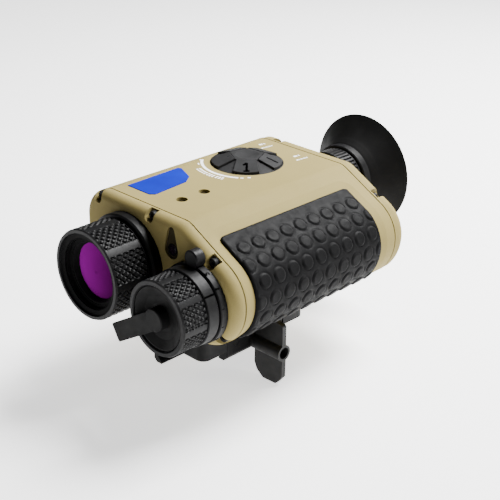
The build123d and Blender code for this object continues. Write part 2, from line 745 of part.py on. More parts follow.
def laser_window():
    """Dark glass in the teardrop opening."""
    rear = FRONT_FACE + WINDOW_REAR
    return prism_y(window_shape(SEAT_GAP), rear - WINDOW_THICKNESS, rear)


def display_panel():
    """Small display that the eyepiece looks at."""
    x, z = EYE_AXIS
    half_x, half_z = DISPLAY_HALF
    panel = block((x - half_x, x + half_x), DISPLAY_Y, (z - half_z, z + half_z))
    half_x, half_z = SCREEN_HALF
    return panel + block((x - half_x, x + half_x), (DISPLAY_Y[0], SCREEN_REAR), (z - half_z, z + half_z))


def battery_tube():
    """Closed tube that holds the battery."""
    end = BATTERY_REAR - BATTERY_LENGTH - BATTERY_TUBE_END - WELD
    rear = REAR_COVER_FRONT + BATTERY_TUBE_END - SEAT_GAP
    tube = rod_y(BATTERY_AXIS, end, rear, BATTERY_TUBE_RADIUS)
    return tube - rod_y(BATTERY_AXIS, end + BATTERY_TUBE_END, rear + PAST, BATTERY_TUBE_BORE)


def battery_cell():
    """Round cell with a raised contact at its front end."""
    front = BATTERY_REAR - BATTERY_LENGTH
    radius = BATTERY_RADIUS
    button_radius, button_height = BATTERY_BUTTON
    shoulder = front + button_height
    return turned(BATTERY_AXIS, [(front, 0), (front, button_radius), (shoulder, button_radius),
                                 (shoulder, radius - 1.0), (shoulder + 1.0, radius),
                                 (BATTERY_REAR - 0.8, radius), (BATTERY_REAR, radius - 0.8),
                                 (BATTERY_REAR, 0)])


def battery_cap():
    """Cap with a plug, a seal groove and a finger bar."""
    face = REAR_FACE + BODY_GAP
    top = face + BATTERY_CAP_HEIGHT
    plug = BATTERY_PLUG_RADIUS
    groove = plug - SEAL_GROOVE_DEPTH
    radius = BATTERY_CAP_RADIUS
    cap = turned(BATTERY_AXIS, [(BATTERY_PLUG_FRONT, 0), (BATTERY_PLUG_FRONT, plug), (SEAL_GROOVE[0], plug),
                                (SEAL_GROOVE[0], groove), (SEAL_GROOVE[1], groove), (SEAL_GROOVE[1], plug),
                                (face, plug), (face, radius - 0.6), (face + 0.6, radius), (top - 1.0, radius),
                                (top, radius - 1.0), (top, 0)])
    x, z = BATTERY_AXIS
    half_length, half_width, height = FINGER_BAR
    bar = block((x - half_length, x + half_length), (top - 0.8, face + height),
                (z - half_width, z + half_width))
    return cap + fillet(bar.edges(), 0.8)


def battery_seal():
    """Rubber ring in the cap's groove."""
    inner = BATTERY_PLUG_RADIUS - SEAL_GROOVE_DEPTH + 2 * SEAT_GAP
    return ring(BATTERY_AXIS, SEAL_GROOVE[0] + 0.2, SEAL_GROOVE[1] - 0.2, inner,
                BATTERY_PLUG_RADIUS - SEAT_GAP, 0.4)


def battery_contact():
    """Sprung contact on the inside of the cap, pressed flat."""
    (tip, tip_radius), (step, radius), (rear, _) = CONTACT_STEPS
    return turned(BATTERY_AXIS, [(tip, 0), (tip, tip_radius), (step, tip_radius), (step, radius),
                                 (rear, radius), (rear, 0)])


def data_port():
    """Metal socket behind the port cover."""
    length, width = SOCKET_SIZE
    inner_length = length - 2 * SOCKET_WALL
    inner_width = width - 2 * SOCKET_WALL
    place = Pos(SOCKET_Y, SOCKET_Z)
    start = LEFT + PORT_RECESS + 0.2
    end = start + SOCKET_DEPTH
    opening = place * RectangleRounded(inner_length, inner_width, inner_width * 0.46)
    shell = prism_x(place * RectangleRounded(length, width, width * 0.48), start, end)
    shell -= prism_x(opening, start, end - 0.8)
    tongue = place * Rectangle(inner_length * 0.8, inner_width * 0.25)
    return shell + prism_x(tongue, start + 1.0, end - WELD)


def port_cover():
    """Flap over the data port, with its hinge barrel and a finger lip."""
    gap = PORT_COVER_GAP
    y_range = (PORT_Y[0] + gap, PORT_Y[1] - gap)
    bottom = PORT_Z[0] + gap
    flap = block((LEFT - PORT_COVER_PROUD, LEFT + PORT_RECESS - gap), y_range, (bottom, PORT_Z[1] - gap))
    flap = fillet(flap.faces().sort_by(Axis.X)[0].edges(), 0.7)
    pin = (PORT_PIN_X, PORT_Z[1])
    flap += rod_y(pin, *y_range, PORT_BARREL_RADIUS)
    lip = block((LEFT - PORT_LIP_PROUD, LEFT), (PORT_Y[0] + PORT_LIP_INSET, PORT_Y[1] - PORT_LIP_INSET),
                (bottom, bottom + PORT_LIP_HEIGHT))
    flap += fillet(lip.edges(), 0.5)
    return flap - rod_y(pin, PORT_Y[0], PORT_Y[1], PORT_PIN_RADIUS + RUNNING_FIT)


def port_pin():
    """Hinge pin of the port cover."""
    return rod_y((PORT_PIN_X, PORT_Z[1]), PORT_Y[0] - PORT_PIN_OVERHANG, PORT_Y[1] + PORT_PIN_OVERHANG,
                 PORT_PIN_RADIUS)


# ---- both objectives ----

def barrel(axis, front, bore, radius, flange_radius):
    """Fixed barrel, with a flange inside the front cover."""
    seat = FRONT_FACE + FRONT_SKIN
    return turned(axis, [(front, bore), (front, radius), (seat, radius), (seat, flange_radius),
                         (seat + BARREL_FLANGE, flange_radius), (seat + BARREL_FLANGE, bore)])


# ---- thermal objective ----

def ir_flange():
    """Fixed flange on the cover, with a narrow groove before the focus ring."""
    bore = IR_BARREL_RADIUS + SEAT_GAP
    radius = IR_FLANGE_RADIUS
    edge = IR_FLANGE_FRONT + 0.8
    step = IR_FLANGE_FRONT - 1.0
    return turned(IR_AXIS, [(FRONT_FACE, bore), (FRONT_FACE, radius), (edge, radius),
                            (IR_FLANGE_FRONT, radius - 0.8), (IR_FLANGE_FRONT, IR_GROOVE_RADIUS),
                            (step, IR_GROOVE_RADIUS), (step, bore)])


def ir_focus_ring():
    """Focus ring with a thin front rim, and a lip over the end of the barrel."""
    bore = IR_BARREL_RADIUS + RUNNING_FIT
    radius = IR_RING_RADIUS
    front = IR_RING_FRONT
    lip = IR_BARREL_FRONT - BODY_GAP
    return turned(IR_AXIS, [(front, IR_RIM_BORE), (front, radius - 0.4), (front + 0.4, radius),
                            (IR_RING_REAR - 0.5, radius), (IR_RING_REAR, radius - 0.5), (IR_RING_REAR, bore),
                            (lip, bore), (lip, IR_LIP_BORE), (lip - IR_LIP, IR_LIP_BORE),
                            (lip - IR_LIP, IR_RIM_BORE)])


def ir_lens_cell():
    """Sliding cell of the thermal objective, stepped behind the front lens."""
    outer = IR_BARREL_BORE - RUNNING_FIT
    seat = IR_LENS_REAR + 0.4
    return turned(IR_AXIS, [(IR_CELL_FRONT, IR_CELL_BORE), (IR_CELL_FRONT, outer), (IR_CELL_REAR, outer),
                            (IR_CELL_REAR, IR_CELL_WAIST), (IR_WAIST_FRONT, IR_CELL_WAIST),
                            (IR_WAIST_FRONT, IR_CELL_STOP), (seat, IR_CELL_STOP), (seat, IR_CELL_BORE)])


def ir_front_lens():
    """Large coated front lens."""
    return lens(IR_AXIS, IR_LENS_FRONT, IR_LENS_REAR, IR_CELL_BORE - SEAT_GAP, *IR_LENS_BULGE)


def ir_lens_retainer():
    """Threaded ring that holds the front lens."""
    front = IR_CELL_FRONT + 0.3
    rear = IR_LENS_FRONT - 0.6
    outer = IR_CELL_BORE - SEAT_GAP
    return turned(IR_AXIS, [(front, IR_CLEAR_RADIUS + 1.2), (front, outer), (rear, outer),
                            (rear, IR_CLEAR_RADIUS)])


# ---- day objective ----

def day_scale_ring():
    """Fixed ring that carries the distance scale, with the detent lug at its top."""
    bore = DAY_BARREL_RADIUS + SEAT_GAP
    front = DAY_SCALE_FRONT
    body = ring(DAY_AXIS, front, FRONT_FACE, bore, DAY_SCALE_RADIUS, 0.4)
    body += ring(DAY_AXIS, front - 0.3, front + 1.0, bore, DAY_SCALE_RADIUS - 2)
    lug = rod_y(LUG_CENTRE, LUG_FRONT, FRONT_FACE, LUG_RADIUS)
    lug = chamfer(lug.faces().sort_by(Axis.Y)[0].edges(), 0.6)
    lug -= rod_y(DAY_AXIS, LUG_FRONT - PAST, front - BODY_GAP, DAY_COLLAR_RADIUS + BODY_GAP)
    return body + lug


def day_index_collar():
    """Smooth collar of the focus ring, with an index line cut along it."""
    bore = DAY_BARREL_RADIUS + RUNNING_FIT
    collar = ring(DAY_AXIS, DAY_RING_REAR, DAY_COLLAR_REAR, bore, DAY_COLLAR_RADIUS, 0.4)
    line = Pos(DAY_COLLAR_RADIUS, 0) * Rectangle(2 * INDEX_DEPTH, INDEX_WIDTH)
    groove = Pos(*DAY_AXIS) * Rot(0, 0, INDEX_ANGLE) * line
    return collar - prism_y(groove, DAY_RING_REAR - PAST, DAY_COLLAR_REAR + PAST)


def day_focus_ring():
    """Knurled ring of the day objective."""
    bore = DAY_BARREL_RADIUS + RUNNING_FIT
    radius = DAY_RING_RADIUS
    front = DAY_RING_FRONT
    return turned(DAY_AXIS, [(front, DAY_RIM_BORE), (front, radius - 1.0), (front + 1.0, radius),
                             (DAY_RING_REAR, radius), (DAY_RING_REAR, bore), (DAY_LIP_REAR, bore),
                             (DAY_LIP_REAR, DAY_LIP_BORE), (front + 0.6, DAY_LIP_BORE)])


def day_lens_cell():
    """Sliding cell of the day objective."""
    outer = DAY_BARREL_BORE - RUNNING_FIT
    front, rear = DAY_CELL
    return turned(DAY_AXIS, [(front, DAY_CELL_BORE), (front, outer), (rear, outer), (rear, DAY_CELL_WAIST),
                             (DAY_CELL_SEAT, DAY_CELL_WAIST), (DAY_CELL_SEAT, DAY_CELL_BORE)])


def day_front_lens():
    """Front lens of the day objective."""
    return lens(DAY_AXIS, *DAY_LENS, DAY_CELL_BORE - SEAT_GAP, *DAY_LENS_BULGE)


def lens_cap():
    """Dished rubber cap that plugs the day objective, with a round boss in its middle."""
    seat = DAY_BARREL_FRONT - SEAT_GAP
    plug = DAY_BARREL_BORE - 2 * SEAT_GAP
    boss = CAP_BOSS_RADIUS
    return turned(DAY_AXIS, [(seat + CAP_PLUG, 0), (seat + CAP_PLUG, plug), (seat, plug), (seat, CAP_RADIUS),
                             (CAP_FRONT, CAP_RADIUS), (CAP_FRONT, CAP_RADIUS - CAP_LIP), *CAP_DISH,
                             (CAP_BOSS_FRONT + 0.5, boss), (CAP_BOSS_FRONT, boss - 0.5), (CAP_BOSS_FRONT, 0)])


def cap_tab():
    """Pull tab moulded on the side of the boss, reaching out past the focus ring."""
    strip = Pos(TAB_REACH / 2, 0) * RectangleRounded(TAB_REACH, TAB_WIDTH, TAB_CORNER)
    outline = Pos(*DAY_AXIS) * Rot(0, 0, TAB_ANGLE) * (strip - Circle(CAP_BOSS_RADIUS))
    return prism_y(outline, *TAB_Y)


# ---- eyepiece ----

def eyepiece_tube():
    """Fixed tube of the eyepiece, set in the rear cover."""
    return ring(EYE_AXIS, EYE_TUBE_FRONT, EYE_TUBE_REAR, EYE_TUBE_BORE, EYE_TUBE_RADIUS)


def diopter_ring():
    """Ribbed ring that focuses the eyepiece."""
    bore = EYE_TUBE_RADIUS + RUNNING_FIT
    return ring(EYE_AXIS, REAR_FACE + BODY_GAP, DIOPTER_REAR, bore, DIOPTER_RADIUS, 0.6)


def eyecup_collar():
    """Smooth band between the diopter ring and the eyecup."""
    bore = EYE_TUBE_RADIUS + SEAT_GAP
    return ring(EYE_AXIS, DIOPTER_REAR + BODY_GAP, EYE_COLLAR_REAR, bore, EYE_COLLAR_RADIUS, 0.5)


def eyecup():
    """Flared rubber cup, hollow towards the eye."""
    bore = EYE_TUBE_RADIUS + SEAT_GAP
    base = (EYECUP_BASE, EYE_COLLAR_REAR)
    rim = (EYECUP_RADIUS, EYECUP_REAR - EYECUP_LIP)
    lip = (EYECUP_RADIUS - EYECUP_LIP, EYECUP_REAR)
    inner_rim = (EYECUP_RADIUS - EYECUP_WALL, EYECUP_REAR)
    inner_base = (bore + 1.95, EYE_TUBE_REAR + 1.0)
    outside = ThreePointArc(base, (23.4, 100.6), rim)
    inside = ThreePointArc(inner_rim, (22.6, 104.7), inner_base)
    rest = Polyline(inner_base, (bore, EYE_TUBE_REAR + 0.4), (bore, EYE_COLLAR_REAR), base)
    x, z = EYE_AXIS
    outline = outside + Polyline(rim, lip, inner_rim) + inside + rest
    return revolve(Plane((x, 0, z)) * make_face(outline), Axis((x, 0, z), (0, 1, 0)))


def eyepiece_lens_cell():
    """Sliding cell of the eyepiece."""
    outer = EYE_TUBE_BORE - RUNNING_FIT
    front, rear = EYE_CELL
    return turned(EYE_AXIS, [(front, EYE_CELL_WAIST), (front, outer), (rear, outer), (rear, EYE_CELL_BORE),
                             (EYE_CELL_SEAT, EYE_CELL_BORE), (EYE_CELL_SEAT, EYE_CELL_WAIST)])


def eyepiece_lens():
    """Eye lens."""
    return lens(EYE_AXIS, *EYE_LENS, EYE_CELL_BORE - SEAT_GAP, *EYE_LENS_BULGE)


# ---- rail clamp ----

def jaw_section(outer_x, root_x):
    """Section of the jaw on the +X side: a hook with a V that grips the rail's edge."""
    groove_x = RAIL_HALF_WIDTH + 0.1
    lip_z = -RAIL_FLANK - (groove_x - JAW_LIP_X)
    return polygon([(root_x, JAW_TOP), (outer_x, JAW_TOP), (outer_x, JAW_BOTTOM + JAW_CHAMFER),
                    (outer_x - JAW_CHAMFER, JAW_BOTTOM), (JAW_LIP_X, JAW_BOTTOM), (JAW_LIP_X, lip_z),
                    (groove_x, -RAIL_FLANK), (root_x, -RAIL_FLANK + groove_x - root_x)])


def clamp_base():
    """Block between the housing and the rail, rebated for the two jaws."""
    half = BASE_HALF_LENGTH
    base = block(BASE_X, (-half, half), (0, BOTTOM))
    base = fillet(base.edges().filter_by(Axis.Z), BASE_CORNER)
    jaw_room = MOVING_JAW_HALF_LENGTH + BODY_GAP
    past_x = BASE_X[1] + PAST
    base -= block((-past_x, -JAW_ROOT_X), (-half - PAST, half + PAST), (-PAST, JAW_TOP))
    base -= block((JAW_ROOT_X, past_x), (-jaw_room, jaw_room), (-PAST, JAW_TOP + BODY_GAP))
    base -= rod_x(0, BOLT_Z, -past_x, past_x, BOLT_RADIUS + BODY_GAP)
    head_radius, _, head_top = CLAMP_HEAD
    for y in CLAMP_SCREWS_Y:
        base -= rod_z(0, y, -PAST, BOTTOM + PAST, CLAMP_SCREW_RADIUS + SEAT_GAP)
        base -= rod_z(0, y, -PAST, head_top, head_radius + 0.2)
    for y in GUIDE_PINS_Y:
        base -= rod_x(y, GUIDE_PIN_Z, 0, past_x, GUIDE_PIN_RADIUS)
    for y in JAW_SCREWS_Y:
        base -= rod_x(y, JAW_SCREW_Z, -past_x, JAW_SCREW_END + 0.2, JAW_SCREW_RADIUS + SEAT_GAP)
    return base


def clamp_screws():
    """Two screws up into the housing, heads sunk in the rail seat, and two that hold the fixed jaw."""
    screws = []
    head_radius, head_bottom, head_top = CLAMP_HEAD
    for y in CLAMP_SCREWS_Y:
        screw = rod_z(0, y, head_bottom, head_top, head_radius)
        screw += rod_z(0, y, head_top, CLAMP_SCREW_END, CLAMP_SCREW_RADIUS)
        socket = Pos(0, y) * RegularPolygon(head_radius * SOCKET_WIDTH_SHARE, 6)
        screws.append(screw - prism_z(socket, head_bottom, (head_bottom + head_top) / 2))
    head_radius, head_outer, head_inner = JAW_SCREW_HEAD
    for y in JAW_SCREWS_Y:
        screw = rod_x(y, JAW_SCREW_Z, head_outer, head_inner, head_radius)
        screw += rod_x(y, JAW_SCREW_Z, head_inner, JAW_SCREW_END, JAW_SCREW_RADIUS)
        socket = Pos(y, JAW_SCREW_Z) * RegularPolygon(head_radius * SOCKET_WIDTH_SHARE, 6)
        screws.append(screw - prism_x(socket, head_outer, (head_outer + head_inner) / 2))
    return screws


def fixed_jaw():
    """Long jaw on the -X side, screwed to the base."""
    half = FIXED_JAW_HALF_LENGTH
    jaw = prism_y(mirror(jaw_section(-BASE_X[0], JAW_ROOT_X), about=Plane.YZ), -half, half)
    jaw = chamfer(jaw.edges().group_by(Axis.X)[0], JAW_EDGE)
    past_x = BASE_X[0] - PAST
    jaw -= rod_x(0, BOLT_Z, past_x, 0, BOLT_RADIUS + SEAT_GAP)
    head_radius, _, head_inner = JAW_SCREW_HEAD
    for y in JAW_SCREWS_Y:
        jaw -= rod_x(y, JAW_SCREW_Z, past_x, 0, JAW_SCREW_RADIUS + SEAT_GAP)
        jaw -= rod_x(y, JAW_SCREW_Z, past_x, head_inner, head_radius + SEAT_GAP)
    return jaw


def moving_jaw():
    """Short jaw on the +X side, drawn in by the wing knob."""
    half = MOVING_JAW_HALF_LENGTH
    jaw = prism_y(jaw_section(MOVING_JAW_OUTER, JAW_ROOT_X + BODY_GAP), -half, half)
    jaw = chamfer(jaw.edges().group_by(Axis.X)[-1], JAW_EDGE)
    jaw -= rod_x(0, BOLT_Z, 0, BASE_X[1] + PAST, BOLT_RADIUS + BODY_GAP)
    for y in GUIDE_PINS_Y:
        jaw -= rod_x(y, GUIDE_PIN_Z, 0, BASE_X[1] + PAST, GUIDE_PIN_RADIUS + RUNNING_FIT)
    return jaw


def jaw_guide_pins():
    """Two pins that keep the moving jaw square."""
    end = MOVING_JAW_OUTER - 0.2
    return [rod_x(y, GUIDE_PIN_Z, 0, end, GUIDE_PIN_RADIUS) for y in GUIDE_PINS_Y]


def cross_bolt():
    """Bolt across the rail, fixed in the base."""
    return rod_x(0, BOLT_Z, *BOLT_X, BOLT_RADIUS)


def bolt_nut():
    """Hexagon nut on the far end of the bolt."""
    face_x = BASE_X[0]
    nut = prism_x(Pos(0, BOLT_Z) * RegularPolygon(NUT_RADIUS, 6), face_x - NUT_THICKNESS, face_x)
    return nut - rod_x(0, BOLT_Z, face_x - NUT_THICKNESS - PAST, face_x + PAST, BOLT_RADIUS + SEAT_GAP)


def wing_knob():
    """Winged knob with a hollow hub, threaded on the bolt."""
    hollow_x, hollow_radius = KNOB_HOLLOW
    hub = rod_x(0, BOLT_Z, KNOB_START, KNOB_END, KNOB_RADIUS)
    half = WING_THICKNESS / 2
    for points in (LOWER_WING, UPPER_WING):
        wing = prism_y(Pos(0, BOLT_Z) * polygon(points), -half, half)
        hub += fillet(wing.edges().filter_by(Axis.Y), WING_ROUND)
    hub -= rod_x(0, BOLT_Z, KNOB_START - PAST, hollow_x, BOLT_RADIUS + RUNNING_FIT)
    return hub - rod_x(0, BOLT_Z, hollow_x, KNOB_END + PAST, hollow_radius)


def tripod_bush():
    """Threaded metal bush in the housing's underside."""
    bush = rod_z(*BUSH_PLACE, BOTTOM, BOTTOM + BUSH_LENGTH, BUSH_RADIUS)
    return bush - rod_z(*BUSH_PLACE, BOTTOM, BOTTOM + BUSH_THREAD_DEPTH, BUSH_THREAD_RADIUS)


# ---- write each piece ----

PIECES = {
    "main_shell": main_shell,
    "front_cover": front_cover,
    "rear_cover": rear_cover,
    "front_gasket": lambda: gasket(FRONT_JOINT, FRONT_STATIONS),
    "rear_gasket": lambda: gasket(REAR_JOINT, REAR_STATIONS),
    "front_cover_screws": lambda: cover_screws(FRONT_STATIONS, FRONT_SEAT, True),
    "rear_cover_screws": lambda: cover_screws(REAR_STATIONS, REAR_SEAT, False),
    "grip_pad": grip_pad,
    "badge_plate": badge_plate,
    "well_lenses": well_lenses,
    "keypad_base": keypad_base,
    "keypad_board": keypad_board,
    "main_board": main_board,
    "ir_detector": lambda: image_sensor(IR_AXIS, DETECTOR_HALF, DETECTOR_Y, DETECTOR_WINDOW),
    "day_sensor": lambda: image_sensor(DAY_AXIS, SENSOR_HALF, SENSOR_Y, SENSOR_WINDOW),
    "laser_emitter": laser_emitter,
    "laser_window": laser_window,
    "display_panel": display_panel,
    "battery_tube": battery_tube,
    "battery_cell": battery_cell,
    "battery_cap": battery_cap,
    "battery_seal": battery_seal,
    "battery_contact": battery_contact,
    "data_port": data_port,
    "port_cover": port_cover,
    "port_pin": port_pin,
    "ir_flange": ir_flange,
    "ir_barrel": lambda: barrel(IR_AXIS, IR_BARREL_FRONT, IR_BARREL_BORE, IR_BARREL_RADIUS, IR_BARREL_FLANGE),
    "ir_focus_ring": ir_focus_ring,
    "ir_lens_cell": ir_lens_cell,
    "ir_front_lens": ir_front_lens,
    "ir_lens_retainer": ir_lens_retainer,
    "day_scale_ring": day_scale_ring,
    "day_index_collar": day_index_collar,
    "day_focus_ring": day_focus_ring,
    "day_barrel": lambda: barrel(DAY_AXIS, DAY_BARREL_FRONT, DAY_BARREL_BORE, DAY_BARREL_RADIUS,
                                 DAY_BARREL_FLANGE),
    "day_lens_cell": day_lens_cell,
    "day_front_lens": day_front_lens,
    "lens_cap": lens_cap,
    "cap_tab": cap_tab,
    "eyepiece_tube": eyepiece_tube,
    "diopter_ring": diopter_ring,
    "eyecup_collar": eyecup_collar,
    "eyecup": eyecup,
    "eyepiece_lens_cell": eyepiece_lens_cell,
    "eyepiece_lens": eyepiece_lens,
    "clamp_base": clamp_base,
    "clamp_screws": clamp_screws,
    "fixed_jaw": fixed_jaw,
    "moving_jaw": moving_jaw,
    "jaw_guide_pins": jaw_guide_pins,
    "cross_bolt": cross_bolt,
    "bolt_nut": bolt_nut,
    "wing_knob": wing_knob,
    "tripod_bush": tripod_bush,
}

os.makedirs("parts", exist_ok=True)
for name, make in PIECES.items():
    piece = make()
    if isinstance(piece, list):
        piece = Compound(children=piece)
    export_step(piece, f"parts/{name}.step")
for number in range(KEY_COUNT):
    export_step(key(number), f"parts/key_{number + 1}.step")
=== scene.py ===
"""Looks for the laser rangefinder: materials, knurled and moulded surfaces, marks, light and camera."""
import json
import math

import bmesh
import bpy
from mathutils import Matrix, Vector


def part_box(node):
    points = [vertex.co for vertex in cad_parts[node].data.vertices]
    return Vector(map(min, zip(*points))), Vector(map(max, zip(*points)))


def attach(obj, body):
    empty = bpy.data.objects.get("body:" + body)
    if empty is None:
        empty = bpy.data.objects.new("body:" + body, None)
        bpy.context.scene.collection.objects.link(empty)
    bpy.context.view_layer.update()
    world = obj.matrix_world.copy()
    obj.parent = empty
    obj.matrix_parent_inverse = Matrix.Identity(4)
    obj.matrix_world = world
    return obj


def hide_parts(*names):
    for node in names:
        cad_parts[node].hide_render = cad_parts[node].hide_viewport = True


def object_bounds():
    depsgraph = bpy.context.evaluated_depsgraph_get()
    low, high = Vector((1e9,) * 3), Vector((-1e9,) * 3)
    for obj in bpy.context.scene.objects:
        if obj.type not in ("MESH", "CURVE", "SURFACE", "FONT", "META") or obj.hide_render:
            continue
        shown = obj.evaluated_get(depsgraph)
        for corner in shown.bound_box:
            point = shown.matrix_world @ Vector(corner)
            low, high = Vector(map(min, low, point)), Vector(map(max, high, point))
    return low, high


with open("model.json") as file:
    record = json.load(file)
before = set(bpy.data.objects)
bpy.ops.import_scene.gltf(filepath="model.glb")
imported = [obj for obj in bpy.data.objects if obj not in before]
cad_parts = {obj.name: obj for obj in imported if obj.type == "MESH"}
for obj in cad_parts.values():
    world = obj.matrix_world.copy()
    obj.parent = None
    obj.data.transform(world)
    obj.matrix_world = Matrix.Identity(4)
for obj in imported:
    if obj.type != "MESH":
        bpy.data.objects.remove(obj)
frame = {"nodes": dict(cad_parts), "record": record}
CAD_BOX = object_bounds()

MM = 0.001
NODES = frame["nodes"]


# ---- places read from the frame, in millimetres ----

def box_mm(node):
    """Lowest and highest corner of a CAD node, in millimetres."""
    low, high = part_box(node)
    return low / MM, high / MM


def axis_of(node):
    """X and Z of the axis of a turned node whose axis runs along Y."""
    low, high = box_mm(node)
    return (low.x + high.x) / 2, (low.z + high.z) / 2


def middle_of(node):
    """X and Y of the middle of a node."""
    low, high = box_mm(node)
    return (low.x + high.x) / 2, (low.y + high.y) / 2


TOP = box_mm("main_shell")[1].z
IR_AXIS = axis_of("ir_focus_ring")
DAY_AXIS = axis_of("day_focus_ring")
EYE_AXIS = axis_of("diopter_ring")
SCALE_RADIUS = DAY_AXIS[0] - box_mm("day_scale_ring")[0].x
KEYPAD = middle_of("keypad_base")


# ---- node trees ----

class Shader:
    """A material's node tree. Texture scales are per metre and bump distances are metres."""

    def __init__(self, name, roughness, metallic=0.0, specular=0.5):
        self.material = bpy.data.materials.new(name)
        self.material.use_nodes = True
        self.tree = self.material.node_tree
        self.bsdf = self.tree.nodes["Principled BSDF"]
        self.set(self.bsdf, Roughness=roughness, Metallic=metallic)
        self.bsdf.inputs["Specular IOR Level"].default_value = specular
        self.place = self.node("ShaderNodeTexCoord").outputs["Object"]

    def node(self, kind, **inputs):
        """New node with its inputs set."""
        made = self.tree.nodes.new(kind)
        self.set(made, **inputs)
        return made

    def set(self, node, **inputs):
        """Sets inputs by name; an underscore stands for a space."""
        for key, value in inputs.items():
            node.inputs[key.replace("_", " ")].default_value = value

    def link(self, output, target, name):
        """Links an output to a named input."""
        self.tree.links.new(output, target.inputs[name])

    def noise(self, scale, detail=4.0, roughness=0.55):
        """Cloudy noise, mostly between 0.3 and 0.7."""
        made = self.node("ShaderNodeTexNoise", Scale=scale, Detail=detail, Roughness=roughness)
        self.link(self.place, made, "Vector")
        return made.outputs["Fac"]

    def cells(self, scale):
        """Distance to the nearest point of a scattered set."""
        made = self.node("ShaderNodeTexVoronoi", Scale=scale)
        self.link(self.place, made, "Vector")
        return made.outputs["Distance"]

    def ramp(self, value, *stops):
        """Colour ramp over (position, colour) stops."""
        made = self.node("ShaderNodeValToRGB")
        made.color_ramp.elements[0].position = stops[0][0]
        made.color_ramp.elements[0].color = stops[0][1]
        made.color_ramp.elements[1].position = stops[-1][0]
        made.color_ramp.elements[1].color = stops[-1][1]
        for position, colour in stops[1:-1]:
            made.color_ramp.elements.new(position).color = colour
        self.link(value, made, "Fac")
        return made.outputs["Color"]

    def spread(self, value, low, high, start=0.3, end=0.7):
        """Maps start to end onto low to high."""
        made = self.node("ShaderNodeMapRange")
        self.set(made, From_Min=start, From_Max=end, To_Min=low, To_Max=high)
        self.link(value, made, "Value")
        return made.outputs["Result"]

    def mottle(self, scale, first, second, detail=4.0, start=0.3, end=0.7):
        """Two colours that blend over noise."""
        return self.ramp(self.noise(scale, detail), (start, first), (end, second))

    def multiply(self, factor, first, second):
        """First colour darkened by the second, by a factor."""
        made = self.node("ShaderNodeMix")
        made.data_type = "RGBA"
        made.blend_type = "MULTIPLY"
        made.inputs[0].default_value = factor
        self.tree.links.new(first, made.inputs[6])
        self.tree.links.new(second, made.inputs[7])
        return made.outputs[2]

    def bump(self, height, strength, distance):
        """Adds a bump on top of the bumps so far."""
        made = self.node("ShaderNodeBump", Strength=strength, Distance=distance)
        self.link(height, made, "Height")
        previous = self.bsdf.inputs["Normal"].links
        if previous:
            self.link(previous[0].from_socket, made, "Normal")
        self.link(made.outputs["Normal"], self.bsdf, "Normal")

    def colour(self, output):
        """Base colour."""
        self.link(output, self.bsdf, "Base Color")

    def wear(self, scale, low, high, detail=4.0):
        """Roughness that varies between two values over noise."""
        self.link(self.spread(self.noise(scale, detail), low, high), self.bsdf, "Roughness")


def rgb(red, green, blue):
    """Opaque colour, linear."""
    return red, green, blue, 1.0


def grey(value, tint=(1.0, 1.0, 1.0)):
    """Opaque grey, linear, times a tint."""
    return rgb(*(value * share for share in tint))


def tan_paint():
    """Fine textured tan paint on the housing."""
    shader = Shader("tan_paint", 0.62, specular=0.03)
    patches = shader.mottle(22.0, rgb(0.238, 0.192, 0.072), rgb(0.264, 0.213, 0.083), detail=3.0)
    specks = shader.mottle(2600.0, grey(0.86), grey(1.0), detail=2.0, start=0.35, end=0.65)
    shader.colour(shader.multiply(0.7, patches, specks))
    shader.wear(60.0, 0.55, 0.68, detail=3.0)
    shader.bump(shader.cells(1500.0), 0.10, 0.00012)
    shader.bump(shader.noise(3200.0, 2.0), 0.12, 0.00008)
    return shader.material


def black_anodised():
    """Satin black anodised metal with faint variation."""
    shader = Shader("black_anodised", 0.45, specular=0.10)
    shader.colour(shader.mottle(120.0, grey(0.004), grey(0.007, (1, 1, 1.08))))
    shader.wear(400.0, 0.38, 0.52)
    shader.bump(shader.noise(2600.0, 2.0), 0.10, 0.00005)
    return shader.material


def hood_black():
    """Dull black of the inside of the barrels."""
    shader = Shader("hood_black", 0.8, specular=0.06)
    shader.colour(shader.mottle(200.0, grey(0.002), grey(0.004)))
    shader.bump(shader.noise(1800.0, 2.0), 0.2, 0.00006)
    return shader.material


def pad_rubber():
    """Soft black rubber of the grip pad, with a fine grain."""
    cool = (1, 1, 1.06)
    shader = Shader("pad_rubber", 0.65, specular=0.05)
    shader.colour(shader.mottle(90.0, grey(0.003, cool), grey(0.005, cool)))
    shader.wear(300.0, 0.50, 0.70)
    shader.bump(shader.cells(1900.0), 0.22, 0.00010)
    shader.bump(shader.noise(700.0, 3.0), 0.25, 0.00012)
    return shader.material


def key_rubber():
    """Smooth dark grey keys."""
    shader = Shader("key_rubber", 0.6, specular=0.05)
    shader.colour(shader.mottle(140.0, grey(0.016), grey(0.023, (1, 1, 1.04))))
    shader.wear(260.0, 0.55, 0.68)
    shader.bump(shader.noise(2200.0, 2.0), 0.15, 0.00005)
    return shader.material


def cup_rubber():
    """Matt black rubber of the eyecup and the lens cap."""
    shader = Shader("cup_rubber", 0.62, specular=0.08)
    shader.colour(shader.mottle(70.0, grey(0.003), grey(0.006)))
    shader.wear(160.0, 0.55, 0.72)
    shader.bump(shader.noise(1500.0, 3.0), 0.2, 0.00008)
    return shader.material


def seal_rubber():
    """Black sealing rubber."""
    shader = Shader("seal_rubber", 0.7, specular=0.3)
    shader.colour(shader.mottle(300.0, grey(0.010), grey(0.018)))
    return shader.material


def blue_plate():
    """Plain blue plate."""
    shader = Shader("blue_plate", 0.5, specular=0.12)
    shader.colour(shader.mottle(60.0, rgb(0.0, 0.006, 0.26), rgb(0.0, 0.009, 0.33)))
    shader.bump(shader.noise(2000.0, 2.0), 0.08, 0.00004)
    return shader.material


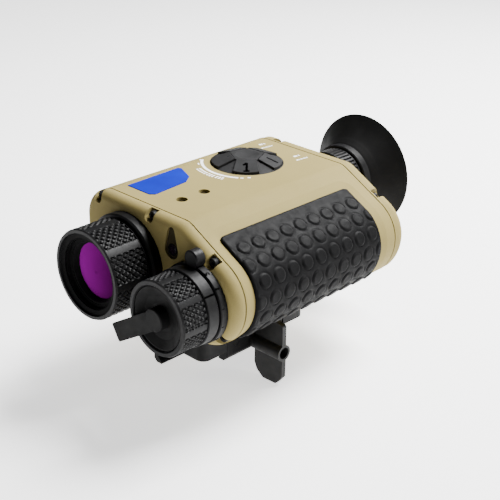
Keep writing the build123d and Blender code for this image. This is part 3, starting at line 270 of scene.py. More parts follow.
def dark_window():
    """Polished glass, coloured the dark olive-brown of the tan well walls in shade: painted shade."""
    shader = Shader("dark_window", 0.14, specular=0.4)
    # Painted shade: this olive-brown stands for the tan walls of the well in shadow.
    shader.colour(shader.mottle(80.0, rgb(0.030, 0.024, 0.012), rgb(0.042, 0.034, 0.018)))
    return shader.material


def window_purple():
    """Dark coated lens behind the window, faintly purple."""
    shader = Shader("window_purple", 0.1, specular=0.5)
    shader.colour(shader.mottle(200.0, rgb(0.010, 0.004, 0.010), rgb(0.022, 0.008, 0.022)))
    return shader.material


# X in metres where the painted reflection on the lens is brightest and where the lens is darkest.
PAINTED_REFLECTION_LEFT, PAINTED_REFLECTION_RIGHT = -0.043, -0.008


def coating_with_painted_reflection():
    """Coated infrared lens: a purple tint with a painted reflection, bright purple at its left rim, falling
    to almost black at its right rim.
    """
    shader = Shader("coating_with_painted_reflection", 0.4, specular=0.0)
    split = shader.node("ShaderNodeSeparateXYZ")
    shader.link(shader.place, split, "Vector")
    across = shader.spread(split.outputs["X"], 0.0, 1.0, PAINTED_REFLECTION_LEFT, PAINTED_REFLECTION_RIGHT)
    # Painted reflection: the coating's purple is bright at the left rim and falls to almost black at the
    # right.
    purple = shader.ramp(across, (0.0, rgb(0.26, 0.0, 0.27)), (0.5, rgb(0.13, 0.0, 0.13)),
                         (1.0, rgb(0.025, 0.0, 0.022)))
    cloud = shader.mottle(45.0, grey(0.85), grey(1.0), detail=2.0)
    shader.colour(shader.multiply(1.0, purple, cloud))
    return shader.material


def clear_lens():
    """Coated eye lens: dark, with a faint green gloss."""
    shader = Shader("clear_lens", 0.06, specular=0.7)
    shader.colour(shader.mottle(60.0, rgb(0.010, 0.016, 0.016), rgb(0.016, 0.026, 0.024)))
    shader.set(shader.bsdf, Coat_Weight=0.6, Coat_Roughness=0.03)
    return shader.material


METAL_SHADE = 0.85
METAL_SMOOTHER, METAL_ROUGHER = 0.06, 0.08


def metal(name, light, roughness, tint=(1, 1, 1)):
    """Bare machined metal with fine tool marks."""
    shader = Shader(name, roughness, metallic=1.0)
    shader.colour(shader.mottle(150.0, grey(light * METAL_SHADE, tint), grey(light, tint)))
    shader.wear(500.0, roughness - METAL_SMOOTHER, roughness + METAL_ROUGHER)
    shader.bump(shader.noise(2400.0, 2.0), 0.12, 0.00004)
    return shader.material


def screw_black():
    """Black oxide steel."""
    shader = Shader("screw_black", 0.5, specular=0.06)
    shader.colour(shader.mottle(700.0, grey(0.008), grey(0.016)))
    shader.wear(600.0, 0.36, 0.52)
    shader.bump(shader.noise(2400.0, 2.0), 0.12, 0.00004)
    return shader.material


def moulded_black():
    """Black coating of the cast wing knob, with a slight orange peel."""
    shader = Shader("moulded_black", 0.5, specular=0.2)
    shader.colour(shader.mottle(110.0, grey(0.004), grey(0.008)))
    shader.wear(250.0, 0.42, 0.58)
    shader.bump(shader.cells(1300.0), 0.14, 0.00008)
    return shader.material


def circuit_green():
    """Circuit board."""
    shader = Shader("circuit_green", 0.4)
    copper, light, dark = rgb(0.30, 0.24, 0.10), rgb(0.010, 0.09, 0.035), rgb(0.008, 0.06, 0.025)
    shader.colour(shader.ramp(shader.cells(320.0), (0.1, copper), (0.25, light), (0.8, dark)))
    return shader.material


def battery_wrap():
    """Shrink wrap of the cell."""
    shader = Shader("battery_wrap", 0.3)
    shader.colour(shader.mottle(50.0, rgb(0.03, 0.05, 0.10), rgb(0.05, 0.07, 0.13)))
    return shader.material


def white_print():
    """White print, slightly worn."""
    shader = Shader("white_print", 0.55)
    shader.colour(shader.mottle(900.0, grey(0.86), grey(0.95), end=0.6))
    return shader.material


def dark_print():
    """Dark engraved marks."""
    shader = Shader("dark_print", 0.8, specular=0.0)
    shader.colour(shader.mottle(900.0, grey(0.0004), grey(0.0008), end=0.6))
    return shader.material


SLOT_MATERIALS = {
    "tan_shell": tan_paint(),
    "gasket_rubber": seal_rubber(),
    "dark_screws": screw_black(),
    "pad_rubber": pad_rubber(),
    "blue_plate": blue_plate(),
    "dark_window": dark_window(),
    "key_rubber": key_rubber(),
    "circuit_board": circuit_green(),
    "inner_metal": metal("inner_metal", 0.55, 0.4),
    "battery_wrap": battery_wrap(),
    "black_metal": black_anodised(),
    "hood_black": hood_black(),
    "purple_glass": coating_with_painted_reflection(),
    "clear_glass": clear_lens(),
    "cup_rubber": cup_rubber(),
    "port_metal": metal("port_metal", 0.6, 0.3),
    "clamp_metal": black_anodised(),
    "bolt_steel": metal("bolt_steel", 0.35, 0.35),
    "knob_plastic": moulded_black(),
    "bush_brass": metal("bush_brass", 0.6, 0.32, (1.0, 0.8, 0.45)),
}


def dress_cad_nodes():
    """Each CAD node gets the material of its record slot."""
    for subpart in frame["record"]["subparts"]:
        node = NODES[subpart["node"]]
        node.data.materials.clear()
        node.data.materials.append(SLOT_MATERIALS[subpart["material_slot"]])


# ---- meshes ----

# Depths that differ by less are taken as the same.
LEVEL = 1e-9


def link_piece(name, mesh, body, replaced=()):
    """Puts a mesh in the scene as a piece that rides on a body and takes the place of CAD nodes."""
    made = bpy.data.objects.new(name, mesh)
    bpy.context.scene.collection.objects.link(made)
    if replaced:
        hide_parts(*replaced)
    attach(made, body)
    return made


def mesh_from(name, points, faces, materials, face_materials=None, crease=40.0):
    """Mesh from points in millimetres, shaded smooth up to the crease angle."""
    mesh = bpy.data.meshes.new(name)
    mesh.from_pydata([Vector(point) * MM for point in points], [], faces)
    for material in materials:
        mesh.materials.append(material)
    if face_materials:
        mesh.polygons.foreach_set("material_index", face_materials)
    work = bmesh.new()
    work.from_mesh(mesh)
    bmesh.ops.recalc_face_normals(work, faces=work.faces)
    work.to_mesh(mesh)
    work.free()
    mesh.polygons.foreach_set("use_smooth", [True] * len(mesh.polygons))
    mesh.set_sharp_from_angle(angle=math.radians(crease))
    mesh.update()
    return mesh


def split_quad(depths, a, b, c, d):
    """Triangles of a quad, cut along the diagonal whose middle is nearer to the quad's mean depth."""
    mean = sum(depths[i] for i in (a, b, c, d)) / 4
    ac = abs((depths[a] + depths[c]) / 2 - mean)
    bd = abs((depths[b] + depths[d]) / 2 - mean)
    even = abs(ac - bd) < LEVEL
    if even and depths[a] == depths[b] == depths[c]:
        return [(a, b, c, d)]
    deeper = min(depths[a], depths[c]) > min(depths[b], depths[d])
    return [(a, b, c), (a, c, d)] if (ac < bd or even and deeper) else [(a, b, d), (b, c, d)]


def turned_mesh(name, axis, rows, steps, relief, materials, first_angle=0.0, crease=40.0):
    """Closed ring about a Y axis.

    Each row is (y, radius, share of the relief, material of the band that follows).
    The relief gives the depth cut at an angle in degrees and a y.
    """
    points, depths, faces, face_materials = [], [], [], []
    for y, radius, share, _ in rows:
        for step in range(steps):
            turn = 360.0 * step / steps
            depth = share * relief(turn, y) if share else 0.0
            angle = math.radians(first_angle + turn)
            reach = radius - depth
            points.append((axis[0] + reach * math.cos(angle), y, axis[1] + reach * math.sin(angle)))
            depths.append(round(depth, 5))
    for row, (_, _, share, material) in enumerate(rows):
        following = (row + 1) % len(rows)
        here, there = row * steps, following * steps
        for step in range(steps):
            after = (step + 1) % steps
            corners = (here + step, here + after, there + after, there + step)
            made = split_quad(depths, *corners) if share and rows[following][2] else [corners]
            faces += made
            face_materials += [material] * len(made)
    return mesh_from(name, points, faces, materials, face_materials, crease)


def zigzag(value):
    """0 at whole numbers, 1 half way between them."""
    return 2 * abs(value - round(value))


# ---- focus rings ----

# Samples are mesh steps per diamond; the groove is its flank's share of half the pitch. Where the bore
# is deeper under the crests than HOOD_BELOW, it is dull black.
KNURL_TURNS = 40
KNURL_SAMPLES = 8
KNURL_PITCH = 3.8
KNURL_DEPTH = 1.1
KNURL_GROOVE = 0.5
KNURL_CREASE = 24.0
STRIPS = 8
STRIP_DEPTH = 0.12
RIM_CHAMFER = 0.4
HOOD_BELOW = 4.0

# A bore runs from the rear rim to the front one: distance behind the front rim, depth under the crests.
REAR = None
IR_BORE = ((REAR, 2.89), (2.5, 2.89), (2.5, 4.75), (1.7, 4.75), (1.2, 2.2), (0.0, 1.95))
DAY_BORE = ((REAR, 3.44), (6.4, 3.44), (6.4, 2.7), (0.6, 2.7), (0.0, 2.2))

# CAD node, piece, body, axis, bore, plain margins at front and rear, angle and half width of the strips.
FOCUS_RINGS = (
    ("ir_focus_ring", "ir_knurled_ring", "ir_focus", IR_AXIS, IR_BORE, (0.9, 0.6), (0.0, 5.1)),
    ("day_focus_ring", "day_knurled_ring", "day_focus", DAY_AXIS, DAY_BORE, (1.0, 0.5), (-6.0, 4.6)),
)


def knurl(first_y, pitch, strip_half):
    """Crossed helical grooves between flat-topped diamonds, broken by smooth strips along the ring."""
    def relief(turn, y):
        from_strip = abs((turn + 180 / STRIPS) % (360 / STRIPS) - 180 / STRIPS)
        if from_strip <= strip_half:
            return STRIP_DEPTH
        around, along = turn * KNURL_TURNS / 360, (y - first_y) / pitch
        near = min(zigzag(around + along), zigzag(around - along))
        return KNURL_DEPTH * (1 - min(1.0, near / KNURL_GROOVE))
    return relief


def knurled_ring(name, axis, outer, knurled, bore, strips):
    """Focus ring: (y, radius) points of the bore run from the rear to the front rim."""
    front, rear = knurled
    first_angle, strip_half = strips
    rear_rim, front_rim = bore[0][0], bore[-1][0]
    count = round((rear - front) * KNURL_SAMPLES / KNURL_PITCH)
    step = (rear - front) / count
    rows = [(y, radius, 0, 1 if radius < outer - HOOD_BELOW else 0) for y, radius in bore]
    rows += [(front_rim, outer - RIM_CHAMFER, 0, 0), (front, outer, 0, 0)]
    rows += [(front + step * (i + 0.5), outer, 1, 0) for i in range(count)]
    rows += [(rear, outer, 0, 0), (rear_rim, outer - RIM_CHAMFER, 0, 0)]
    relief = knurl(front, step * KNURL_SAMPLES, strip_half)
    materials = [SLOT_MATERIALS["black_metal"], SLOT_MATERIALS["hood_black"]]
    return turned_mesh(name, axis, rows, KNURL_TURNS * KNURL_SAMPLES, relief, materials, first_angle,
                       KNURL_CREASE)


def focus_rings():
    """Both knurled focus rings, in place of their plain CAD rings."""
    for node, name, body, axis, outline, (front, rear), strips in FOCUS_RINGS:
        low, high = box_mm(node)
        outer = (high.x - low.x) / 2
        bore = [(high.y if behind is REAR else low.y + behind, outer - depth) for behind, depth in outline]
        mesh = knurled_ring(name, axis, outer, (low.y + front, high.y - rear), bore, strips)
        link_piece(name, mesh, body, [node])


# ---- diopter ring and eyecup ----

RIBS = 48
RIB_SAMPLES = 8
RIB_DEPTH = 0.75
RIB_GROOVE = 0.55
RIB_CREASE = 30.0
DIOPTER_WALL = 2.84
# Distance in from a rim, depth under the ribs, share of the ribs' relief.
DIOPTER_EDGE = ((0.0, 0.6, 0), (0.5, 0.0, 0), (0.9, 0.0, 0), (1.3, 0.0, 1))

# Base and bore are radii. The seat is the straight bore's length. A bend is a point of the outer or inner
# arc: distance from the base or the rim, and how far under the rim's radius. The throat, where the inner
# arc ends, is given from the base and over the bore.
CUP_BASE = 18.4
CUP_BORE = 15.05
CUP_WALL = 2.4
CUP_LIP = 1.2
CUP_LIP_STEPS = 8
CUP_SEAT = 6.4
CUP_THROAT = (7.0, 1.95)
CUP_OUTER_BEND = (6.6, 9.4)
CUP_INNER_BEND = (5.5, 10.2)
CUP_OUTER_POINTS = 22
CUP_INNER_POINTS = 18
CUP_STEPS = 128
CUP_CREASE = 50.0
SOFT_RINGS = (1.6, 3.4)
SOFT_RING_RISE = 0.22
SOFT_RING_WIDTH = 0.5


def rib_relief(turn, _):
    """Grooves along the ring between rounded ribs."""
    return RIB_DEPTH * max(0.0, 1 - zigzag(turn * RIBS / 360) / RIB_GROOVE)


def diopter_piece():
    """Ribbed diopter ring with plain, chamfered rims."""
    low, high = box_mm("diopter_ring")
    outer = (high.x - low.x) / 2
    bore = outer - DIOPTER_WALL
    rows = [(high.y, bore, 0, 0), (low.y, bore, 0, 0)]
    rows += [(low.y + inward, outer - under, share, 0) for inward, under, share in DIOPTER_EDGE]
    rows += [(high.y - inward, outer - under, share, 0) for inward, under, share in reversed(DIOPTER_EDGE)]
    mesh = turned_mesh("ribbed_ring", EYE_AXIS, rows, RIBS * RIB_SAMPLES, rib_relief,
                       [SLOT_MATERIALS["black_metal"]], 0.0, RIB_CREASE)
    link_piece("ribbed_ring", mesh, "diopter", ["diopter_ring"])


def arc_through(first, middle, last, count):
    """Points of the circular arc through three points, ends included."""
    (ax, ay), (bx, by), (cx, cy) = first, middle, last
    aa, bb, cc = ax * ax + ay * ay, bx * bx + by * by, cx * cx + cy * cy
    d = 2 * (ax * (by - cy) + bx * (cy - ay) + cx * (ay - by))
    ox = (aa * (by - cy) + bb * (cy - ay) + cc * (ay - by)) / d
    oy = (aa * (cx - bx) + bb * (ax - cx) + cc * (bx - ax)) / d
    radius = math.hypot(ax - ox, ay - oy)
    start, end = math.atan2(ay - oy, ax - ox), math.atan2(cy - oy, cx - ox)
    sweep = (end - start + math.pi) % (2 * math.pi) - math.pi
    return [(ox + radius * math.cos(start + sweep * i / (count - 1)),
             oy + radius * math.sin(start + sweep * i / (count - 1))) for i in range(count)]


def eyecup_piece():
    """Flared cup with a rolled lip, and two low moulded rings near its base."""
    low, high = box_mm("eyecup")
    rim, lip_y = (high.x - low.x) / 2, high.y - CUP_LIP
    outside = arc_through((low.y, CUP_BASE), (low.y + CUP_OUTER_BEND[0], rim - CUP_OUTER_BEND[1]),
                          (lip_y, rim), CUP_OUTER_POINTS)
    turns = [math.pi * i / CUP_LIP_STEPS for i in range(1, CUP_LIP_STEPS)]
    lip = [(lip_y + CUP_LIP * math.sin(turn), rim - CUP_LIP + CUP_LIP * math.cos(turn)) for turn in turns]
    inside = arc_through((lip_y, rim - CUP_WALL), (high.y - CUP_INNER_BEND[0], rim - CUP_INNER_BEND[1]),
                         (low.y + CUP_THROAT[0], CUP_BORE + CUP_THROAT[1]), CUP_INNER_POINTS)
    profile = outside + lip + inside + [(low.y + CUP_SEAT, CUP_BORE), (low.y, CUP_BORE)]
    rows = [(y, radius, 1 if i < len(outside) else 0, 0) for i, (y, radius) in enumerate(profile)]

    def soft_rings(_, y):
        """Low rings moulded round the outside."""
        return sum(-SOFT_RING_RISE * math.exp(-((y - low.y - place) / SOFT_RING_WIDTH) ** 2)
                   for place in SOFT_RINGS)
    mesh = turned_mesh("rubber_eyecup", EYE_AXIS, rows, CUP_STEPS, soft_rings,
                       [SLOT_MATERIALS["cup_rubber"]], 0.0, CUP_CREASE)
    link_piece("rubber_eyecup", mesh, "body", ["eyecup"])


# ---- grip pad ----

# The housing's section under the pad: a sloping shoulder, then two arcs with centres in X and Z.
SHOULDER = math.radians(28.0)
SIDE_CENTRE, SIDE_RADIUS = (29.9, 47.0), 20.8
LOWER_CENTRE, LOWER_RADIUS = (24.7, 47.0), 26.0
PAD_TOP_X = 24.7
PAD_END = math.radians(62.0)
SIDE_START = math.pi / 2 - SHOULDER
SHOULDER_FOOT = (SIDE_CENTRE[0] + SIDE_RADIUS * math.cos(SIDE_START),
                 SIDE_CENTRE[1] + SIDE_RADIUS * math.sin(SIDE_START))
SHOULDER_LENGTH = (SHOULDER_FOOT[0] - PAD_TOP_X) / math.cos(SHOULDER)
SIDE_LENGTH = SIDE_START * SIDE_RADIUS
PAD_LENGTH = SHOULDER_LENGTH + SIDE_LENGTH + PAD_END * LOWER_RADIUS

# Proud and inner are the heights of the pad's two faces over the housing.
PAD_STEP = 0.5
PAD_PROUD = 0.8
PAD_INNER = -1.7
PAD_CORNER = 3.0
PAD_EDGE_DROP = 0.75
PAD_EDGE_RUN = 1.2
PAD_CREASE = 60.0

# Pitch is along a row and rows are across; the first disc is given from the pad's upper and front edges.
DISC_PITCH = 10.0
DISC_ROWS = 9.5
DISC_ROW_COUNT = 6
DISC_FIRST = (10.6, 7.4)
DISC_RADIUS = 3.75
DISC_RISE = 0.55
DISC_DISH = 0.10
DISC_FLANK = 0.8
DISC_FADE = 1.8
GROOVE_DEPTH = 0.35
GROOVE_WIDTH = 0.35
GROOVE_OUT = 0.2
GROOVE_REACH = 0.9


def on_housing(along, y, height):
    """Point at a height over the housing's section, at a distance along it from the pad's upper edge."""
    if along < SHOULDER_LENGTH:
        left = SHOULDER_LENGTH - along
        x = SHOULDER_FOOT[0] - left * math.cos(SHOULDER) + height * math.sin(SHOULDER)
        return x, y, SHOULDER_FOOT[1] + left * math.sin(SHOULDER) + height * math.cos(SHOULDER)
    along -= SHOULDER_LENGTH
    centre, radius, angle = SIDE_CENTRE, SIDE_RADIUS, SIDE_START - along / SIDE_RADIUS
    if along > SIDE_LENGTH:
        centre, radius, angle = LOWER_CENTRE, LOWER_RADIUS, (SIDE_LENGTH - along) / LOWER_RADIUS
    return centre[0] + (radius + height) * math.cos(angle), y, centre[1] + (radius + height) * math.sin(angle)


def smooth(value):
    """0 up to 0, 1 from 1, and an S curve between."""
    value = min(1.0, max(0.0, value))
    return value * value * (3 - 2 * value)


def disc_height(along, y, front):
    """Height of the raised discs, each with a narrow groove round it, in staggered rows."""
    row = round((along - DISC_FIRST[0]) / DISC_ROWS)
    height = 0.0
    for near in (row - 1, row, row + 1):
        if not 0 <= near < DISC_ROW_COUNT:
            continue
        shift = front + DISC_FIRST[1] + (DISC_PITCH / 2 if near % 2 else 0.0) - DISC_PITCH
        column = shift + DISC_PITCH * round((y - shift) / DISC_PITCH)
        away = math.hypot(along - DISC_FIRST[0] - DISC_ROWS * near, y - column)
        if away < DISC_RADIUS + GROOVE_REACH:
            crown = DISC_RISE - DISC_DISH * (1 - (away / DISC_RADIUS) ** 2)
            groove = GROOVE_DEPTH * math.exp(-((away - DISC_RADIUS - GROOVE_OUT) / GROOVE_WIDTH) ** 2)
            height = smooth((DISC_RADIUS - away) / DISC_FLANK) * crown - groove
    return height


def pad_height(along, y, front, edge):
    """Height of the pad over the housing, rounded down near its edge, where the discs fade out."""
    lean = max(0.0, 1 - edge / PAD_EDGE_RUN)
    rounding = PAD_EDGE_DROP * (1 - math.sqrt(max(0.0, 1 - lean ** 2)))
    return PAD_PROUD - rounding + disc_height(along, y, front) * smooth(edge / DISC_FADE)


def grip_piece():
    """Rubber pad wrapped over the shoulder and the side, with rounded corners and edges."""
    low, high = box_mm("grip_pad")
    front, rear = low.y, high.y
    across = round(PAD_LENGTH / PAD_STEP)
    lengthwise = round((rear - front) / PAD_STEP)
    outer, inner = [], []
    for j in range(lengthwise + 1):
        y = front + (rear - front) * j / lengthwise
        from_end = min(y - front, rear - y)
        inset = 0.0
        if from_end < PAD_CORNER:
            inset = PAD_CORNER - math.sqrt(PAD_CORNER ** 2 - (PAD_CORNER - from_end) ** 2)
        for i in range(across + 1):
            along = inset + (PAD_LENGTH - 2 * inset) * i / across
            edge = min(along - inset, PAD_LENGTH - inset - along, from_end)
            outer.append(on_housing(along, y, pad_height(along, y, front, edge)))
            inner.append(on_housing(along, y, PAD_INNER))
    row, behind = across + 1, len(outer)
    faces = []
    for j in range(lengthwise):
        for i in range(across):
            a = j * row + i
            quad = (a, a + 1, a + 1 + row, a + row)
            faces += [quad, tuple(behind + corner for corner in reversed(quad))]
    border = list(range(across)) + [j * row + across for j in range(lengthwise)]
    border += [lengthwise * row + i for i in range(across, 0, -1)]
    border += [j * row for j in range(lengthwise, 0, -1)]
    for a, b in zip(border, border[1:] + border[:1]):
        faces.append((a, b, behind + b, behind + a))
    mesh = mesh_from("rubber_grip", outer + inner, faces, [SLOT_MATERIALS["pad_rubber"]], crease=PAD_CREASE)
    link_piece("rubber_grip", mesh, "body", ["grip_pad"])


# ---- printed and engraved marks ----

MARK_THICK = 0.12
MARK_LIFT = 0.03
MARK_CREASE = 30.0

# Lines of a mark one unit tall, each with its width.
DIGIT_ONE = [([(0.0, 0.0), (0.0, 1.0)], 0.20), ([(-0.30, 0.72), (0.0, 1.0)], 0.18),
             ([(-0.25, 0.0), (0.25, 0.0)], 0.18)]
DIGIT_TWO = [([(-0.32, 0.72), (-0.20, 0.94), (0.10, 1.0), (0.32, 0.80), (0.22, 0.50), (-0.32, 0.0)], 0.18),
             ([(-0.32, 0.0), (0.34, 0.0)], 0.18)]
BAR = [([(0.0, 0.0), (0.0, 1.0)], 0.18)]

# Arcs round the keypad: radius, first and last angle, steps, width.
KEYPAD_ARCS = ((24.3, -142, -56, 40, 1.5), (24.2, -53.5, -49.5, 4, 1.0), (23.4, -44.5, -40.5, 4, 1.2),
               (25.2, -142, -139, 3, 0.9), (26.2, -129, -124, 4, 0.8))
TICK_ANGLES = (-112, -108.4, -104.8, -101.2, -97.6, -93.0, -89.4, -85.8, -81.0, -77.4, -73.8)
# Radius of a row of ticks, from and to past the tick's angle, width.
TICK_ROWS = ((27.2, 0.0, 2.3, 1.3), (28.9, 0.4, 2.6, 1.0))
TICK_STEPS = 3

# Small print: where its rows start, which way they run, and (length, height) of each dash.
PRINT_PLACES = ((-39.0, 57.4), (-12.9, 57.6))
PRINT_DIRECTION = (0.12, 0.993)
PRINT_SECOND_ROW = (4.6, -3.2)
LARGE_DASHES = ((1.5, 1.6), (0.5, 1.6), (1.4, 1.6))
LARGE_GAP, LARGE_WIDTH = 0.2, 1.5
SMALL_DASHES = ((1.3, 1.2), (0.4, 1.2), (1.2, 1.2), (0.4, 1.2), (1.3, 1.2), (0.4, 1.2), (1.2, 1.2))
SMALL_GAP, SMALL_WIDTH = 0.25, 1.2

# A key's top slopes down from its inner to its outer radius; rises are over the housing's top.
KEY_INNER, KEY_INNER_RISE = 8.3, 4.8
KEY_OUTER, KEY_OUTER_RISE = 19.2, 1.2
KEY_COUNT = 5
KEY_HALF_ANGLE = 20
# Direction of a marked key, its mark, where the mark starts outwards and sideways, its size and turn.
KEY_MARKS = ((25.0, BAR, 11.0, 0.6, 6.6, -90), (-47.0, DIGIT_ONE, 18.0, 0.3, 6.4, 90),
             (241.0, BAR, 9.8, -0.2, 1.3, -90))

# Marks on the day scale: the mark, its angle and size.
SCALE_MARKS = ((DIGIT_TWO, 64.0, 2.0), (DIGIT_ONE, 40.0, 2.0), (BAR, 12.0, 1.4), (BAR, -15.0, 1.4),
               (DIGIT_TWO, -42.0, 2.0), (DIGIT_ONE, 88.0, 2.0), (BAR, 112.0, 1.4))
SCALE_BOLD = 1.9
SCALE_LIFT = 0.06
SCALE_FOOT_Y = -55.3
UNDERLINE_Y, UNDERLINE_WIDTH = -55.75, 0.3
UNDERLINE_ANGLES = range(52, 77, 2)
INDEX_ANGLE = 35.5
INDEX_INSET = 0.5
INDEX_WIDTH = 0.9


def strokes_mesh(name, strokes, place, material, lift=MARK_LIFT):
    """Thin raised ribbons along lines of (u, v) points; place gives the point at u, v and a height."""
    points, faces = [], []
    for line, width in strokes:
        first = len(points)
        for i, (u, v) in enumerate(line):
            before, after = line[max(0, i - 1)], line[min(len(line) - 1, i + 1)]
            du, dv = after[0] - before[0], after[1] - before[1]
            size = math.hypot(du, dv)
            side = (-dv / size * width / 2, du / size * width / 2)
            for sign, height in ((1, lift), (-1, lift), (-1, lift - MARK_THICK), (1, lift - MARK_THICK)):
                points.append(place(u + sign * side[0], v + sign * side[1], height))
        for i in range(len(line) - 1):
            for k in range(4):
                a, b = first + 4 * i + k, first + 4 * i + (k + 1) % 4
                faces.append((a, b, b + 4, a + 4))
        last = first + 4 * (len(line) - 1)
        faces += [tuple(first + k for k in range(4)), tuple(last + k for k in (3, 2, 1, 0))]
    return mesh_from(name, points, faces, [material], crease=MARK_CREASE)


def arc_line(radius, start, end, steps):
    """Points on a circle about the keypad, angles in degrees."""
    return [(KEYPAD[0] + radius * math.cos(math.radians(a)), KEYPAD[1] + radius * math.sin(math.radians(a)))
            for a in (start + (end - start) * i / steps for i in range(steps + 1))]


def dashes(start, lengths, gap, width):
    """Row of short strokes along the print direction, like small print without letters."""
    strokes, along = [], 0.0
    du, dv = PRINT_DIRECTION
    for length, tall in lengths:
        u, v = start[0] + du * along, start[1] + dv * along
        strokes.append(([(u, v), (u - dv * tall, v + du * tall)], width))
        if length > width * 2:
            strokes.append(([(u, v), (u + du * length, v + dv * length)], width))
        along += length + gap
    return strokes


def top_marks():
    """White arc beside the keypad and small generic marks round it."""
    strokes = [(arc_line(radius, start, end, steps), width)
               for radius, start, end, steps, width in KEYPAD_ARCS]
    for angle in TICK_ANGLES:
        strokes += [(arc_line(radius, angle + start, angle + end, TICK_STEPS), width)
                    for radius, start, end, width in TICK_ROWS]
    for x, y in PRINT_PLACES:
        strokes += dashes((x, y), LARGE_DASHES, LARGE_GAP, LARGE_WIDTH)
        second = (x + PRINT_SECOND_ROW[0], y + PRINT_SECOND_ROW[1])
        strokes += dashes(second, SMALL_DASHES, SMALL_GAP, SMALL_WIDTH)

    def place(u, v, height):
        return u, v, TOP + height
    mesh = strokes_mesh("top_print", strokes, place, white_print())
    link_piece("top_print", mesh, "body")


def scaled(strokes, u, v, size, turn=0.0):
    """Strokes of a unit mark, sized, turned and moved."""
    c, s = math.cos(math.radians(turn)), math.sin(math.radians(turn))
    return [([(u + size * (c * x - s * y), v + size * (s * x + c * y)) for x, y in line], size * width)
            for line, width in strokes]


def on_key(direction):
    """Place function for the sloping top of the key in a direction, u outwards and v sideways."""
    c, s = math.cos(math.radians(direction)), math.sin(math.radians(direction))

    def place(u, v, height):
        rise = KEY_INNER_RISE + (KEY_OUTER_RISE - KEY_INNER_RISE) * (u - KEY_INNER) / (KEY_OUTER - KEY_INNER)
        return KEYPAD[0] + c * u - s * v, KEYPAD[1] + s * u + c * v, TOP + rise + height
    return place


def key_marks():
    """Dark engraved marks on three keys; they move with their keys."""
    for number in range(1, KEY_COUNT + 1):
        x, y = middle_of(f"key_{number}")
        middle = math.degrees(math.atan2(y - KEYPAD[1], x - KEYPAD[0]))
        for direction, mark, u, v, size, turn in KEY_MARKS:
            if abs((middle - direction + 180) % 360 - 180) > KEY_HALF_ANGLE:
                continue
            strokes = scaled(mark, u, v, size, turn)
            mesh = strokes_mesh(f"key_mark_{number}", strokes, on_key(direction), dark_print())
            link_piece(f"key_mark_{number}", mesh, f"key{number}")


def round_day_axis(radius):
    """Place function that wraps (arc length, y) round the day objective at a radius."""
    def place(u, v, height):
        angle, reach = u / radius, radius + height
        return DAY_AXIS[0] + reach * math.cos(angle), v, DAY_AXIS[1] + reach * math.sin(angle)
    return place


def scale_marks():
    """Dark generic digits and ticks on the fixed scale of the day objective."""
    radius = SCALE_RADIUS
    strokes = []
    for mark, angle, size in SCALE_MARKS:
        strokes += [(line, SCALE_BOLD * width)
                    for line, width in scaled(mark, math.radians(angle) * radius, SCALE_FOOT_Y, size)]
    strokes.append(([(math.radians(a) * radius, UNDERLINE_Y) for a in UNDERLINE_ANGLES], UNDERLINE_WIDTH))
    mesh = strokes_mesh("scale_marks", strokes, round_day_axis(radius), dark_print(), SCALE_LIFT)
    link_piece("scale_marks", mesh, "body")


def index_line():
    """Dark paint in the index groove of the smooth collar."""
    low, high = box_mm("day_index_collar")
    radius = (high.x - low.x) / 2
    around = math.radians(INDEX_ANGLE) * radius
    line = [(around, low.y + INDEX_INSET), (around, high.y - INDEX_INSET)]
    mesh = strokes_mesh("index_line", [(line, INDEX_WIDTH)], round_day_axis(radius), dark_print())
    link_piece("index_line", mesh, "day_focus")


# ---- laser window ----

LENS_RADIUS = 3.1
LENS_UP = 4.6
LENS_EYE = 0.02
# Distance before the window's face and radius, from the back of the mount round to its middle.
LENS_SECTION = ((-0.4, LENS_RADIUS), (0.25, LENS_RADIUS), (0.25, LENS_RADIUS - 0.5),
                (0.05, LENS_RADIUS - 0.7), (0.30, LENS_RADIUS * 0.45), (0.36, LENS_EYE), (-0.4, LENS_EYE))
LENS_GLASS_BANDS = (3, 4)
LENS_STEPS = 48
LENS_CREASE = 35.0


def window_lens():
    """Small round lens in the lower part of the laser window."""
    low, high = box_mm("laser_window")
    axis = ((low.x + high.x) / 2, low.z + LENS_UP)
    rows = [(low.y - before, radius, 0, 1 if band in LENS_GLASS_BANDS else 0)
            for band, (before, radius) in enumerate(LENS_SECTION)]
    mesh = turned_mesh("laser_lens", axis, rows, LENS_STEPS, None,
                       [SLOT_MATERIALS["hood_black"], window_purple()], 0.0, LENS_CREASE)
    link_piece("laser_lens", mesh, "body")


# ---- stage, in metres ----

FLOOR_REACH = 3.0
FLOOR_GLOW = 1.3
WORLD_STRENGTH = 0.04
AIM = Vector((0.0, 0.0, 0.045))
# Name, place, size and watts.
LIGHTS = (("key", (0.15, 0.40, 0.80), 0.40, 30.0), ("back", (-0.10, 0.80, 0.60), 0.40, 12.0),
          ("side", (0.80, 0.60, 0.40), 0.25, 3.5))

# Camera: degrees, millimetres from the origin, and the lens on a 36 mm sensor.
CAMERA_AZIMUTH, CAMERA_ELEVATION, CAMERA_ROLL = 43.86, 24.93, 1.11
CAMERA_PLACE = (374.5, -380.3, 294.7)
CAMERA_LENS, CAMERA_SENSOR = 81.53, 36.0
CAMERA_CLIP = (0.01, 20.0)


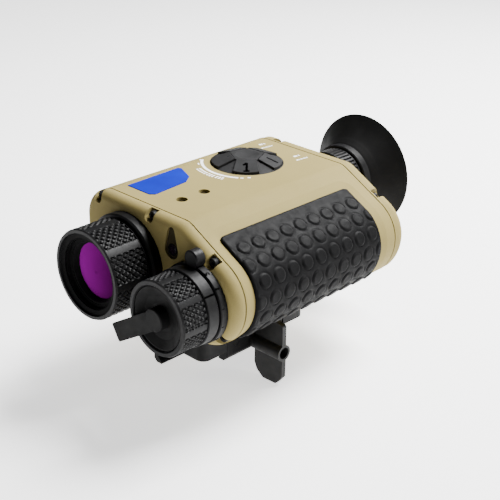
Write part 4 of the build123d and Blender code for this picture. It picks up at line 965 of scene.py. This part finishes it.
def studio():
    """Pale, faintly glowing floor, a weak white world and three area lights."""
    floor_z = CAD_BOX[0].z
    mesh = bpy.data.meshes.new("floor")
    corners = [(-FLOOR_REACH, -FLOOR_REACH, floor_z), (FLOOR_REACH, -FLOOR_REACH, floor_z),
               (FLOOR_REACH, FLOOR_REACH, floor_z), (-FLOOR_REACH, FLOOR_REACH, floor_z)]
    mesh.from_pydata(corners, [], [(0, 1, 2, 3)])
    floor = bpy.data.objects.new("floor", mesh)
    bpy.context.scene.collection.objects.link(floor)
    shader = Shader("floor_white", 0.95, specular=0.0)
    shader.colour(shader.mottle(3.0, grey(0.90), grey(0.92)))
    shader.set(shader.bsdf, Emission_Color=grey(1.0), Emission_Strength=FLOOR_GLOW)
    mesh.materials.append(shader.material)

    world = bpy.data.worlds.new("studio")
    bpy.context.scene.world = world
    world.use_nodes = True
    background = world.node_tree.nodes["Background"]
    background.inputs["Color"].default_value = grey(1.0)
    background.inputs["Strength"].default_value = WORLD_STRENGTH

    for name, place, size, power in LIGHTS:
        light = bpy.data.lights.new(name, "AREA")
        light.size = size
        light.energy = power
        lamp = bpy.data.objects.new(name, light)
        lamp.location = place
        lamp.rotation_mode = "QUATERNION"
        lamp.rotation_quaternion = (Vector(place) - AIM).to_track_quat("Z", "Y")
        bpy.context.scene.collection.objects.link(lamp)


def camera():
    """Camera in front, to the right and above, at the reference view's angle."""
    azimuth, elevation, roll = (math.radians(v) for v in (CAMERA_AZIMUTH, CAMERA_ELEVATION, CAMERA_ROLL))
    back = Vector((math.sin(azimuth) * math.cos(elevation), -math.cos(azimuth) * math.cos(elevation),
                   math.sin(elevation)))
    level = Vector((math.cos(azimuth), math.sin(azimuth), 0.0))
    upright = back.cross(level)
    right = math.cos(roll) * level + math.sin(roll) * upright
    up = back.cross(right)
    data = bpy.data.cameras.new("camera")
    data.lens = CAMERA_LENS
    data.sensor_width = CAMERA_SENSOR
    data.clip_start, data.clip_end = CAMERA_CLIP
    seen_from = bpy.data.objects.new("camera", data)
    seen_from.matrix_world = Matrix.Translation(Vector(CAMERA_PLACE) * MM) @ Matrix(
        (right, up, back)).transposed().to_4x4()
    bpy.context.scene.collection.objects.link(seen_from)
    bpy.context.scene.camera = seen_from


dress_cad_nodes()
focus_rings()
diopter_piece()
eyecup_piece()
grip_piece()
top_marks()
key_marks()
scale_marks()
index_line()
window_lens()
studio()
camera()
